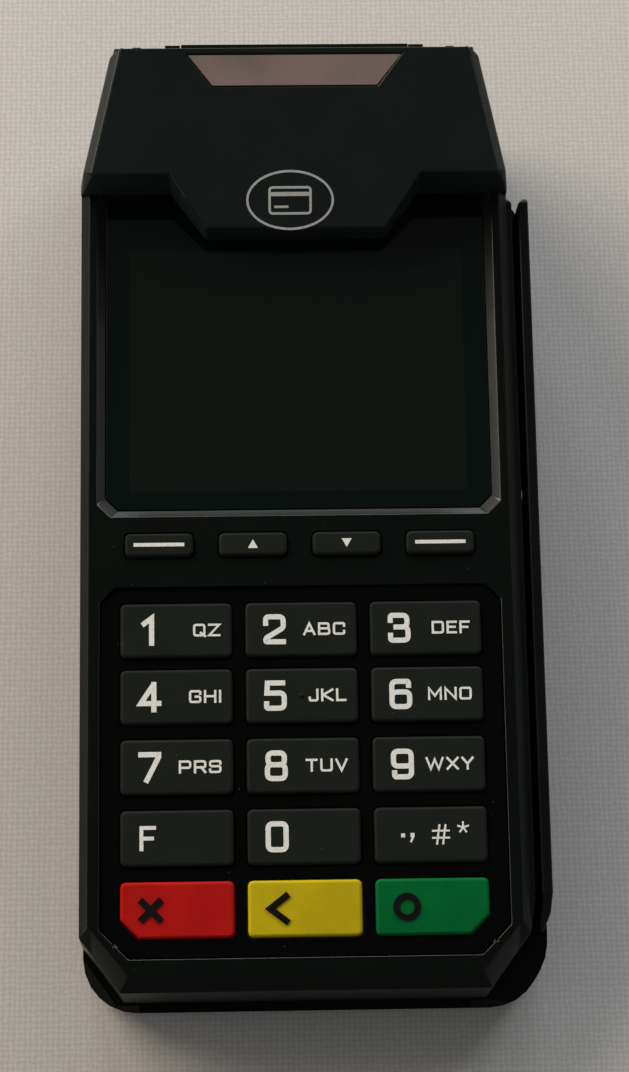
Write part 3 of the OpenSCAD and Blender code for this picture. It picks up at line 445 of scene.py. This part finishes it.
# Finish of each material slot of the record
FINISHES = {
    "body_black": moulded_plastic("body_plastic", (0.001, 0.0026, 0.0016), 0.34, specular=0.07, polish_and_highlight=0.75,
                                  inner=34.6),
    "case_black": moulded_plastic("case_plastic", (0.0008, 0.0016, 0.001), 0.45, dust=0.3, specular=0.03,
                                  polish_and_highlight=0.5),
    "bezel_black": moulded_plastic("bezel_plastic", (0.0006, 0.0012, 0.0008), 0.26, relief=0.08, dust=0.3,
                                   specular=0.04, polish_and_highlight=0.4),
    "lens_black": lens_glass("lens", (0.0008, 0.0046, 0.0032), (0.0042, 0.008, 0.0062)),
    "key_grey": moulded_plastic("key_plastic", (0.0098, 0.0128, 0.01), 0.48, grain=3400.0, relief=0.36,
                                dust=0.3, specular=0.07),
    "key_red": coloured_key("red_key_plastic", (0.42, 0.009, 0.007)),
    "key_yellow": coloured_key("yellow_key_plastic", (0.5, 0.39, 0.008)),
    "key_green": coloured_key("green_key_plastic", (0.0008, 0.125, 0.028)),
    "badge_metal": painted_metal("badge_paint", (0.32, 0.225, 0.205), 0.42),
    "board_green": circuit_board("solder_mask", (0.01, 0.12, 0.04)),
    "steel": plain_metal("steel", (0.62, 0.62, 0.63), 0.28),
    "brass": plain_metal("gilt_brass", (0.78, 0.58, 0.22), 0.25),
    "rubber": rubber("rubber", (0.0075, 0.008, 0.008)),
    "dark_plastic": moulded_plastic("inner_plastic", (0.03, 0.03, 0.033), 0.5),
    "paper": paper("thermal_paper", (0.86, 0.86, 0.83)),
    "card": paper("core_card", (0.4, 0.28, 0.17)),
    "nylon": moulded_plastic("gear_nylon", (0.72, 0.7, 0.62), 0.45, dust=0.05),
    "battery": moulded_plastic("battery_film", (0.03, 0.05, 0.09), 0.3, relief=0.08),
    "flex_amber": moulded_plastic("flex_film", (0.45, 0.2, 0.03), 0.25, relief=0.08),
}
DOOR_PLASTIC = moulded_plastic("door_plastic", (0.0014, 0.003, 0.0022), 0.36, dust=0.3, specular=0.07,
                               polish_and_highlight=0.25)
# The hood's black is paler than the body's: a painted sheen for its top, which leans towards the light in
# front
HOOD_PLASTIC_PAINTED_SHEEN = moulded_plastic("hood_plastic_painted_sheen", (0.0135, 0.0195, 0.0188), 0.36, dust=0.3, specular=0.08,
                               polish_and_highlight=0.6)
WHITE_INK = legend_ink("white_ink", (0.85, 0.85, 0.82))
BLACK_INK = legend_ink("black_ink", (0.006, 0.005, 0.005))


def dress_node(node, finish):
    """Give a CAD node its finish."""
    piece = NODES[node]
    piece.data.materials.clear()
    piece.data.materials.append(finish)


for entry in frame["record"]["subparts"]:
    dress_node(entry["node"], FINISHES[entry["material_slot"]])
dress_node("hood_cover", HOOD_PLASTIC_PAINTED_SHEEN)
for name in ("swipe_rail", "paper_door", "release_lever"):
    dress_node(name, DOOR_PLASTIC)


# ---------------------------------------------------------------- rounded edges

# Width of the rounded edges of the visible mouldings and of the keys
EDGE_ROUND = {
    "upper_housing": 0.2, "hood_cover": 0.35, "lower_case": 0.4, "swipe_rail": 0.4, "paper_door": 0.35,
    "release_lever": 0.2, "keypad_bezel": 0.12, "display_lens": 0.15, "badge_plate": 0.08,
    "battery_cover": 0.3, "cover_latch": 0.15, "usb_flap": 0.15, "feet": 0.3,
}
KEY_ROUND = 0.22
EDGE_ROUND.update(dict.fromkeys(FUNCTION_KEYS + NUMBER_KEYS + COLOUR_KEYS, KEY_ROUND))

# Length under which edges are merged first. The mouldings named here have a longer one, and their
# rounding isn't held back by their shortest edges.
MERGE = 0.002
FREE_ROUND = {"hood_cover": 0.11, "upper_housing": 0.2}

# Angles in degrees: faces that differ by less than the first are one face, and edges sharper than the
# second are rounded
FLAT_ANGLE = 0.5
SHARP_ANGLE = 11
FACE_WEIGHT = 60


def soften(node, width):
    """Rounded moulded edges as live modifiers on a CAD node."""
    piece = NODES[node]
    weld = piece.modifiers.new("weld", "WELD")
    weld.merge_threshold = FREE_ROUND.get(node, MERGE) * MM
    flat = piece.modifiers.new("flat_faces", "DECIMATE")
    flat.decimate_type = "DISSOLVE"
    flat.angle_limit = math.radians(FLAT_ANGLE)
    bevel = piece.modifiers.new("edge_round", "BEVEL")
    bevel.width = width * MM
    bevel.segments = 3
    bevel.limit_method = "ANGLE"
    bevel.angle_limit = math.radians(SHARP_ANGLE)
    bevel.use_clamp_overlap = node not in FREE_ROUND
    bevel.harden_normals = False
    piece.data.shade_smooth()
    normals = piece.modifiers.new("face_normals", "WEIGHTED_NORMAL")
    normals.keep_sharp = False
    normals.weight = FACE_WEIGHT


for name, width in EDGE_ROUND.items():
    soften(name, width)


# ---------------------------------------------------------------- printed strokes

# Depth to which a print goes into its surface, its height over it, and the height that each further
# stroke adds, so that crossing strokes never share a plane
PRINT_SINK = 0.03
PRINT_RISE = 0.03
STROKE_STEP = 0.008

# A bend under this angle, in radians, stays as it is; a rounded corner has this many steps
LEAST_BEND = 0.05
ARC_STEPS = 6

# Limit of the mitre at a sharp bend of a band, as the cosine of half the bend
LEAST_MITRE = 0.45


def rounded_path(points, radius, closed):
    """Polyline whose corners are turned into short arcs."""
    points = [Vector(point) for point in points]
    if radius <= 0:
        return points
    count = len(points)
    result = []
    for index, corner in enumerate(points):
        if not closed and index in (0, count - 1):
            result.append(corner)
            continue
        before = points[index - 1] - corner
        after = points[(index + 1) % count] - corner
        bend = math.pi - before.angle(after)
        if bend < LEAST_BEND:
            result.append(corner)
            continue
        reach = min(radius * math.tan(bend / 2), before.length / 2, after.length / 2)
        start = corner + before.normalized() * reach
        end = corner + after.normalized() * reach
        for step in range(ARC_STEPS + 1):
            t = step / ARC_STEPS
            result.append(start * (1 - t) ** 2 + corner * 2 * t * (1 - t) + end * t ** 2)
    return result


def square_ends(points, width):
    """The same polyline, drawn on by half the band's width at both ends."""
    first = points[0] + (points[0] - points[1]).normalized() * width / 2
    last = points[-1] + (points[-1] - points[-2]).normalized() * width / 2
    return [first] + points[1:-1] + [last]


def stroke_solid(points, width, closed, low, high):
    """Vertices and faces of a flat band of constant width along a polyline."""
    if not closed:
        points = square_ends(points, width)
    count = len(points)
    vertices = []
    for index, point in enumerate(points):
        if closed:
            incoming = (point - points[index - 1]).normalized()
            outgoing = (points[(index + 1) % count] - point).normalized()
        else:
            incoming = point - points[max(index - 1, 0)]
            outgoing = points[min(index + 1, count - 1)] - point
            incoming = incoming.normalized() if incoming.length > 0 else outgoing.normalized()
            outgoing = outgoing.normalized() if outgoing.length > 0 else incoming
        along = incoming + outgoing
        along = along.normalized() if along.length > 0.001 else outgoing
        side = Vector((-along.y, along.x))
        mitre = 1 / max(LEAST_MITRE, side.dot(Vector((-outgoing.y, outgoing.x))))
        for sign, height in ((1, low), (-1, low), (-1, high), (1, high)):
            spot = point + side * (sign * width / 2 * mitre)
            vertices.append((spot.x, spot.y, height))
    faces = []
    for index in range(count if closed else count - 1):
        here = 4 * index
        there = 4 * ((index + 1) % count)
        for corner in range(4):
            following = (corner + 1) % 4
            faces.append((here + corner, here + following, there + following, there + corner))
    if not closed:
        end = 4 * (count - 1)
        faces += [(3, 2, 1, 0), (end, end + 1, end + 2, end + 3)]
    return vertices, faces


def plate_solid(points, low, high):
    """Vertices and faces of a flat filled outline."""
    count = len(points)
    vertices = [(x, y, low) for x, y in points] + [(x, y, high) for x, y in points]
    faces = [tuple(reversed(range(count))), tuple(range(count, 2 * count))]
    for index in range(count):
        following = (index + 1) % count
        faces.append((index, following, count + following, count + index))
    return vertices, faces


class Print:
    """Collects bands and filled outlines that are printed or moulded on one surface."""

    def __init__(self, rise=PRINT_RISE):
        self.vertices = []
        self.faces = []
        self.rise = rise

    def add(self, solid):
        """Take in the vertices and faces of one solid."""
        base = len(self.vertices)
        self.vertices += solid[0]
        self.faces += [tuple(base + index for index in face) for face in solid[1]]
        self.rise += STROKE_STEP

    def stroke(self, points, width, closed=False, radius=0.0):
        """Band along a polyline."""
        path = rounded_path(points, radius, closed)
        self.add(stroke_solid(path, width, closed, -PRINT_SINK, self.rise))

    def plate(self, points):
        """Filled outline."""
        self.add(plate_solid(points, -PRINT_SINK, self.rise))

    def box(self, left, bottom, right, top):
        """Filled rectangle."""
        self.plate([(left, bottom), (right, bottom), (right, top), (left, top)])

    def finish(self, name, place, material, body):
        """Make the object from a placement in the face frame, and let it ride on a body."""
        mesh = bpy.data.meshes.new(name)
        mesh.from_pydata(self.vertices, [], self.faces)
        piece = bpy.data.objects.new(name, mesh)
        bpy.context.scene.collection.objects.link(piece)
        deselect()
        bpy.context.view_layer.objects.active = piece
        piece.select_set(True)
        bpy.ops.object.mode_set(mode="EDIT")
        bpy.ops.mesh.select_all(action="SELECT")
        bpy.ops.mesh.normals_make_consistent(inside=False)
        bpy.ops.object.mode_set(mode="OBJECT")
        mesh.transform(FACE_TO_SCENE @ place)
        mesh.materials.append(material)
        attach(piece, body)

    def finish_on_key(self, node, height, material):
        """Make the legend of a key whose top has the given height."""
        self.finish("legend_" + node, Matrix.Translation((0, 0, height)), material, node + "_body")


# Centre lines of the characters in a unit box: the points, whether the line closes on
# itself, and whether its corners are round
CHARACTERS = {
    "1": [([(0.2, 0.78), (0.62, 1), (0.62, 0)], False, False)],
    "2": [([(0, 0.74), (0, 1), (1, 1), (1, 0.56), (0, 0.14), (0, 0), (1, 0)], False, True)],
    "3": [([(0, 0.8), (0, 1), (0.95, 1), (0.95, 0.53), (0.32, 0.53)], False, True),
          ([(0.32, 0.53), (1, 0.53), (1, 0), (0, 0), (0, 0.2)], False, True)],
    "4": [([(0.74, 0), (0.74, 1)], False, False), ([(0.67, 0.94), (0, 0.25), (1.02, 0.25)], False, False)],
    "5": [([(0.92, 1), (0.06, 1), (0.02, 0.6)], False, False),
          ([(0.02, 0.6), (1, 0.6), (1, 0), (0, 0), (0, 0.18)], False, True)],
    "6": [([(0.95, 0.84), (0.95, 1), (0, 1), (0, 0.3)], False, True),
          ([(0, 0), (1, 0), (1, 0.58), (0, 0.58)], True, True)],
    "7": [([(0, 1), (1, 1), (1, 0.9), (0.34, 0)], False, False)],
    "8": [([(0.04, 0.54), (0.96, 0.54), (0.96, 1), (0.04, 1)], True, True),
          ([(0, 0), (1, 0), (1, 0.54), (0, 0.54)], True, True)],
    "9": [([(0.05, 0.16), (0.05, 0), (1, 0), (1, 0.7)], False, True),
          ([(0, 0.42), (1, 0.42), (1, 1), (0, 1)], True, True)],
    "0": [([(0, 0), (1, 0), (1, 1), (0, 1)], True, True)],
    "A": [([(0, 0), (0.5, 1), (1, 0)], False, False), ([(0.26, 0.3), (0.74, 0.3)], False, False)],
    "B": [([(0, 0), (0, 1)], False, False), ([(0, 1), (0.94, 1), (0.94, 0.52), (0, 0.52)], False, True),
          ([(0, 0.52), (1, 0.52), (1, 0), (0, 0)], False, True)],
    "C": [([(1, 0.74), (1, 1), (0, 1), (0, 0), (1, 0), (1, 0.26)], False, True)],
    "D": [([(0, 0), (0, 1)], False, False), ([(0, 1), (1, 1), (1, 0), (0, 0)], False, True)],
    "E": [([(1, 1), (0, 1), (0, 0), (1, 0)], False, False), ([(0, 0.52), (0.86, 0.52)], False, False)],
    "F": [([(1, 1), (0, 1), (0, 0)], False, False), ([(0, 0.5), (0.84, 0.5)], False, False)],
    "G": [([(1, 0.76), (1, 1), (0, 1), (0, 0), (1, 0), (1, 0.5), (0.55, 0.5)], False, True)],
    "H": [([(0, 0), (0, 1)], False, False), ([(1, 0), (1, 1)], False, False),
          ([(0, 0.52), (1, 0.52)], False, False)],
    "I": [([(0, 0), (0, 1)], False, False)],
    "J": [([(1, 1), (1, 0), (0, 0), (0, 0.26)], False, True)],
    "K": [([(0, 0), (0, 1)], False, False), ([(1, 1), (0.1, 0.5), (1, 0)], False, False)],
    "L": [([(0, 1), (0, 0), (1, 0)], False, False)],
    "M": [([(0, 0), (0, 1), (0.5, 0.3), (1, 1), (1, 0)], False, False)],
    "N": [([(0, 0), (0, 1), (1, 0), (1, 1)], False, False)],
    "O": [([(0, 0), (1, 0), (1, 1), (0, 1)], True, True)],
    "P": [([(0, 0), (0, 1)], False, False), ([(0, 1), (1, 1), (1, 0.42), (0, 0.42)], False, True)],
    "Q": [([(0, 0), (1, 0), (1, 1), (0, 1)], True, True), ([(0.66, 0.24), (1.06, -0.06)], False, False)],
    "R": [([(0, 0), (0, 1)], False, False), ([(0, 1), (1, 1), (1, 0.44), (0, 0.44)], False, True),
          ([(0.6, 0.44), (1, 0)], False, False)],
    "S": [([(1, 0.78), (1, 1), (0, 1), (0, 0.53), (1, 0.53), (1, 0), (0, 0), (0, 0.22)], False, True)],
    "T": [([(0, 1), (1, 1)], False, False), ([(0.5, 1), (0.5, 0)], False, False)],
    "U": [([(0, 1), (0, 0), (1, 0), (1, 1)], False, True)],
    "V": [([(0, 1), (0.5, 0), (1, 1)], False, False)],
    "W": [([(0, 1), (0.25, 0), (0.5, 0.9), (0.75, 0), (1, 1)], False, False)],
    "X": [([(0, 0), (1, 1)], False, False), ([(0, 1), (1, 0)], False, False)],
    "Y": [([(0, 1), (0.5, 0.46), (1, 1)], False, False), ([(0.5, 0.46), (0.5, 0)], False, False)],
    "Z": [([(0, 1), (1, 1), (0, 0), (1, 0)], False, False)],
}
LETTER_WIDTH = {"I": 0.16, "J": 0.8, "L": 0.84, "E": 0.84, "F": 0.84, "M": 1.12, "W": 1.45, "T": 0.96}

# Legends: sizes of the digits and letters, and how far they stand in from the sides of a key's top.
# The digits are measured to their middle.
DIGIT_SIZE = (3.8, 5.1)
DIGIT_STROKE = 0.86
DIGIT_INSET = 4.9
LETTER_HEIGHT = 2.16
LETTER_BREADTH = 0.96
LETTER_STROKE = 0.38
LETTER_GAP = 0.42
LETTER_INSET = 1.95
CORNER_ROUND = 0.16

# Flange round the foot of each key, under the bezel
KEY_FLANGE = 0.8


def draw_character(target, character, corner, width, height, stroke):
    """One character with its outline's lower left corner at the given point."""
    left, bottom = (part + stroke / 2 for part in corner)
    for points, closed, is_round in CHARACTERS[character]:
        spots = [(left + x * (width - stroke), bottom + y * (height - stroke)) for x, y in points]
        target.stroke(spots, stroke, closed, height * CORNER_ROUND if is_round else 0.0)


def letter_width(letter):
    """Width of one small letter."""
    return LETTER_HEIGHT * LETTER_BREADTH * LETTER_WIDTH.get(letter, 1.0)


def key_top(node):
    """Left and right end of the top of a key, the middle between its front and back, and its height."""
    low, high = face_box(node)
    return low.x + KEY_FLANGE, high.x - KEY_FLANGE, (low.y + high.y) / 2, high.z


def number_legend(digit, letters):
    """A large digit on the left of a key, and small letters on its right."""
    left, right, middle, top = key_top("key_" + digit)
    target = Print()
    width, height = DIGIT_SIZE
    corner = (left + DIGIT_INSET - width / 2, middle - height / 2)
    draw_character(target, digit, corner, width, height, DIGIT_STROKE)
    gaps = LETTER_GAP * max(len(letters) - 1, 0)
    x = right - LETTER_INSET - sum(letter_width(letter) for letter in letters) - gaps
    for letter in letters:
        corner = (x, middle - LETTER_HEIGHT / 2)
        draw_character(target, letter, corner, letter_width(letter), LETTER_HEIGHT, LETTER_STROKE)
        x += letter_width(letter) + LETTER_GAP
    target.finish_on_key("key_" + digit, top, WHITE_INK)


def f_legend():
    """The letter F, in a size between the digits and the small letters."""
    left, _, middle, top = key_top("key_f")
    target = Print()
    inset, width, height, stroke = 3.2, 2.7, 4.1, 0.62
    draw_character(target, "F", (left + inset, middle - height / 2), width, height, stroke)
    target.finish_on_key("key_f", top, WHITE_INK)


def draw_stop_and_comma(target, stop_at, comma_at, middle):
    """A square full stop, and a comma with a slanting tail."""
    dot, drop, comma_top, tail = 0.66, 0.4, 0.3, 0.34
    target.box(stop_at, middle - drop, stop_at + dot, middle - drop + dot)
    target.box(comma_at, middle - drop, comma_at + dot, middle + comma_top)
    target.stroke([(comma_at + dot - 0.2, middle - 0.3), (comma_at + 0.1, middle - 1.05)], tail)


def draw_hash(target, x, middle):
    """Two leaning uprights and two bars across them."""
    line, half_height, lean = 0.32, 1.5, 0.45
    for upright in (0.75, 1.75):
        target.stroke([(x + upright, middle - half_height), (x + upright + lean, middle + half_height)], line)
    for rise in (-0.55, 0.6):
        target.stroke([(x + 0.1, middle + rise), (x + 2.75, middle + rise)], line)


def draw_star(target, x, y):
    """Five arms about a centre, the first one upright."""
    line, reach = 0.3, 0.85
    for degrees in range(90, 450, 72):
        angle = math.radians(degrees)
        target.stroke([(x, y), (x + reach * math.cos(angle), y + reach * math.sin(angle))], line)


def symbols_legend():
    """Full stop, comma, hash and star."""
    left, _, middle, top = key_top("key_symbols")
    target = Print()
    stop_at, comma_at, hash_at, star_at = (left + inset for inset in (4.4, 5.95, 9.55, 14.65))
    draw_stop_and_comma(target, stop_at, comma_at, middle)
    draw_hash(target, hash_at, middle)
    draw_star(target, star_at, middle + 1.1)
    target.finish_on_key("key_symbols", top, WHITE_INK)


# Height of the raised signs on the coloured keys
SIGN_RISE = 0.22


def raised_sign(node, lines, inset, width, closed=False):
    """Raised black sign on a coloured key; its lines are given about its own middle."""
    left, _, middle, top = key_top(node)
    target = Print(SIGN_RISE)
    for line in lines:
        target.stroke([(left + inset + x, middle + y) for x, y in line], width, closed)
    target.finish_on_key(node, top, BLACK_INK)


def oval(half_x, half_y, sides):
    """Points round an oval."""
    angles = [2 * math.pi * side / sides for side in range(sides)]
    return [(half_x * math.cos(angle), half_y * math.sin(angle)) for angle in angles]


def colour_key_legends():
    """Raised black cross, chevron and ring."""
    arm, reach, rise, radius = 1.35, 1.3, 2.0, 1.75
    cross = [[(-arm, arm), (arm, -arm)], [(-arm, -arm), (arm, arm)]]
    chevron = [[(reach, rise), (-reach, 0.0), (reach, -rise)]]
    raised_sign("key_cancel", cross, inset=5.0, width=1.1)
    raised_sign("key_clear", chevron, inset=4.9, width=1.05)
    raised_sign("key_enter", [oval(radius, radius, sides=40)], inset=5.1, width=1.0, closed=True)


# Function keys: half length and width of the bars, half sizes of the arrows and the way they point
BAR_HALF = 3.95
BAR_WIDTH = 0.62
ARROW_HALF = (0.85, 0.75)
ARROWS = {"key_up": 1, "key_down": -1}


def function_legends():
    """A bar on each outer function key, and an arrow on each inner one."""
    for node in FUNCTION_KEYS:
        left, right, middle, top = key_top(node)
        x = (left + right) / 2
        target = Print()
        if node in ARROWS:
            half, rise = ARROW_HALF[0], ARROW_HALF[1] * ARROWS[node]
            points = [(x - half, middle - rise), (x + half, middle - rise), (x, middle + rise)]
            target.plate(points if rise > 0 else points[::-1])
        else:
            target.stroke([(x - BAR_HALF, middle), (x + BAR_HALF, middle)], BAR_WIDTH)
        target.finish_on_key(node, top, WHITE_INK)


def five_pip():
    """Small raised pip that marks the middle key by touch."""
    left, right, middle, top = key_top("key_5")
    radius, flatten, shift = 0.45, 0.7, -0.1
    deselect()
    bpy.ops.mesh.primitive_uv_sphere_add(segments=20, ring_count=12, radius=radius)
    piece = bpy.context.active_object
    piece.name = "pip_key_5"
    place = Matrix.Translation(((left + right) / 2 + shift, middle, top))
    piece.data.transform(FACE_TO_SCENE @ place @ Matrix.Diagonal((1, 1, flatten, 1)))
    piece.data.shade_smooth()
    piece.data.materials.append(FINISHES["key_grey"])
    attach(piece, "key_5_body")


def tap_mark():
    """Plain sign for where a card is held: an oval with a card in it."""
    along, shift = 27.3, -0.9
    line, card_half, card_low, card_high = 0.42, 3.5, -2.3, 2.2
    stripe_low, stripe_high, bar_left, bar_right, bar_height = 0.7, 1.4, -2.5, -0.5, -1.15
    place = Matrix.Translation((
        SCREEN_CENTRE.x + shift,
        SCREEN_CENTRE.y + along,
        HOOD_AT_CENTRE + along * math.tan(HOOD_SLOPE),
    ))
    mark = Print()
    mark.stroke(oval(half_x=7.3, half_y=5.0, sides=72), width=0.4, closed=True)
    card = [(-card_half, card_low), (card_half, card_low), (card_half, card_high), (-card_half, card_high)]
    mark.stroke(card, line, closed=True, radius=0.6)
    mark.box(-card_half, stripe_low, card_half, stripe_high)
    mark.stroke([(bar_left, bar_height), (bar_right, bar_height)], line)
    mark.finish("tap_mark", place @ Matrix.Rotation(HOOD_SLOPE, 4, "X"), WHITE_INK, "terminal")


LETTERS = {"1": "QZ", "2": "ABC", "3": "DEF", "4": "GHI", "5": "JKL", "6": "MNO", "7": "PRS", "8": "TUV",
           "9": "WXY", "0": ""}
for digit, letters in LETTERS.items():
    number_legend(digit, letters)
f_legend()
symbols_legend()
colour_key_legends()
function_legends()
five_pip()
tap_mark()


# ---------------------------------------------------------------- floor and lamps (in metres), camera

def floor():
    """Pale table with a fine weave."""
    deselect()
    bpy.ops.mesh.primitive_plane_add(size=3.0, location=(0, 0, 0))
    ground = bpy.context.active_object
    ground.name = "floor"
    material, tree, shader, place = new_material("pale_floor")
    threads = []
    for direction in ("X", "Y"):
        wave = tree.nodes.new("ShaderNodeTexWave")
        wave.bands_direction = direction
        feed(tree, wave, Vector=place, Scale=330.0, Distortion=3.5, Detail=3.0, Detail_Scale=1.6)
        threads.append(wave.outputs["Fac"])
    slubs = noise(tree, place, scale=900.0, detail=3.0, roughness=0.6)
    weave = maths(tree, "MULTIPLY", maths(tree, "ADD", *threads), slubs)
    tone = blend_colour(tree, weave, (0.5, 0.485, 0.465), (0.62, 0.605, 0.585))
    feed(tree, shader, Base_Color=tone, Roughness=0.95, Specular_IOR_Level=0.1)
    add_bump(tree, shader, weave, strength=0.08, depth=0.2)
    ground.data.materials.append(material)


def area_lamp(name, place, aim, size, power, colour):
    """Rectangular lamp that faces the point it is aimed at."""
    data = bpy.data.lights.new(name, "AREA")
    data.shape = "RECTANGLE"
    data.size, data.size_y = size
    data.energy = power
    data.color = colour
    lamp = bpy.data.objects.new(name, data)
    bpy.context.scene.collection.objects.link(lamp)
    lamp.location = place
    direction = Vector(aim) - Vector(place)
    lamp.rotation_euler = direction.to_track_quat("-Z", "Y").to_euler()


def lamps():
    """A large window on the left, a smaller one on the right, low light from the left and from
    behind, and a wide faint light in front for the sheen of the hood."""
    foot, body = (0, 0, 0), (0, 0, 0.03)
    area_lamp("window_left", (-0.95, 0.8, 0.8), foot, (0.9, 0.9), 17.5, (1.0, 0.88, 0.72))
    area_lamp("window_right", (0.85, 1.05, 0.75), foot, (0.6, 0.7), 7.0, (0.93, 0.97, 1.0))
    area_lamp("low_left", (-1.4, 0.0, 0.36), body, (1.0, 0.25), 4.5, (1.0, 0.92, 0.82))
    area_lamp("low_back", (0.0, 1.4, 0.62), body, (1.0, 0.3), 10.0, (0.95, 0.96, 1.0))
    area_lamp("front_sheen", (0.0, -1.1, 1.2), body, (1.4, 0.8), 0.6, (1.0, 1.0, 1.0))


def room():
    """Dim surroundings, of the table's own pale grey where they are seen directly or mirrored."""
    world = bpy.data.worlds.new("room")
    bpy.context.scene.world = world
    world.use_nodes = True
    tree = world.node_tree
    dim = tree.nodes["Background"]
    feed(tree, dim, Color=(0.92, 0.96, 1.0), Strength=0.14)
    pale = tree.nodes.new("ShaderNodeBackground")
    feed(tree, pale, Color=(0.43, 0.42, 0.4), Strength=1.0)
    path = tree.nodes.new("ShaderNodeLightPath").outputs
    mirrored = maths(tree, "ADD", path["Is Glossy Ray"], path["Is Transmission Ray"])
    seen = maths(tree, "MAXIMUM", path["Is Camera Ray"], mirrored)
    mix = tree.nodes.new("ShaderNodeMixShader")
    for socket, value in zip(mix.inputs, (seen, dim.outputs[0], pale.outputs[0])):
        fill(tree, socket, value)
    feed(tree, tree.nodes["World Output"], Surface=mix.outputs[0])


# Camera, in the face frame: the turns in degrees about its axes, the point aimed at from the display's
# centre, and the camera's place from that point across, up and out of the turned view
LEAN, YAW, ROLL = -12.06, 1.474, 0.954
AIM = Vector((3.395, -34.004, 0.0))
STAND_OFF = Vector((-0.95, 4.108, 404.54))
FILM_HEIGHT = 24.0
FOCAL_LENGTH = 53.731343
NEAREST = 20.0


def camera():
    """Hand-held view from above the keypad end."""
    roll, lean, yaw = (Matrix.Rotation(math.radians(angle), 3, axis)
                       for angle, axis in ((ROLL, "Z"), (LEAN, "X"), (YAW, "Y")))
    turn_back = (roll @ lean @ yaw).transposed()
    data = bpy.data.cameras.new("camera")
    data.sensor_fit = "VERTICAL"
    data.sensor_height = FILM_HEIGHT
    data.lens = FOCAL_LENGTH
    data.clip_start = NEAREST * MM
    view = bpy.data.objects.new("camera", data)
    bpy.context.scene.collection.objects.link(view)
    place = Matrix.Translation(FACE_TO_SCENE @ (SCREEN_CENTRE + AIM + turn_back @ STAND_OFF))
    view.matrix_world = place @ (FACE_TURN.to_3x3() @ turn_back).to_4x4()
    bpy.context.scene.camera = view


floor()
lamps()
room()
camera()

scene = bpy.context.scene
scene.view_settings.view_transform = "Standard"
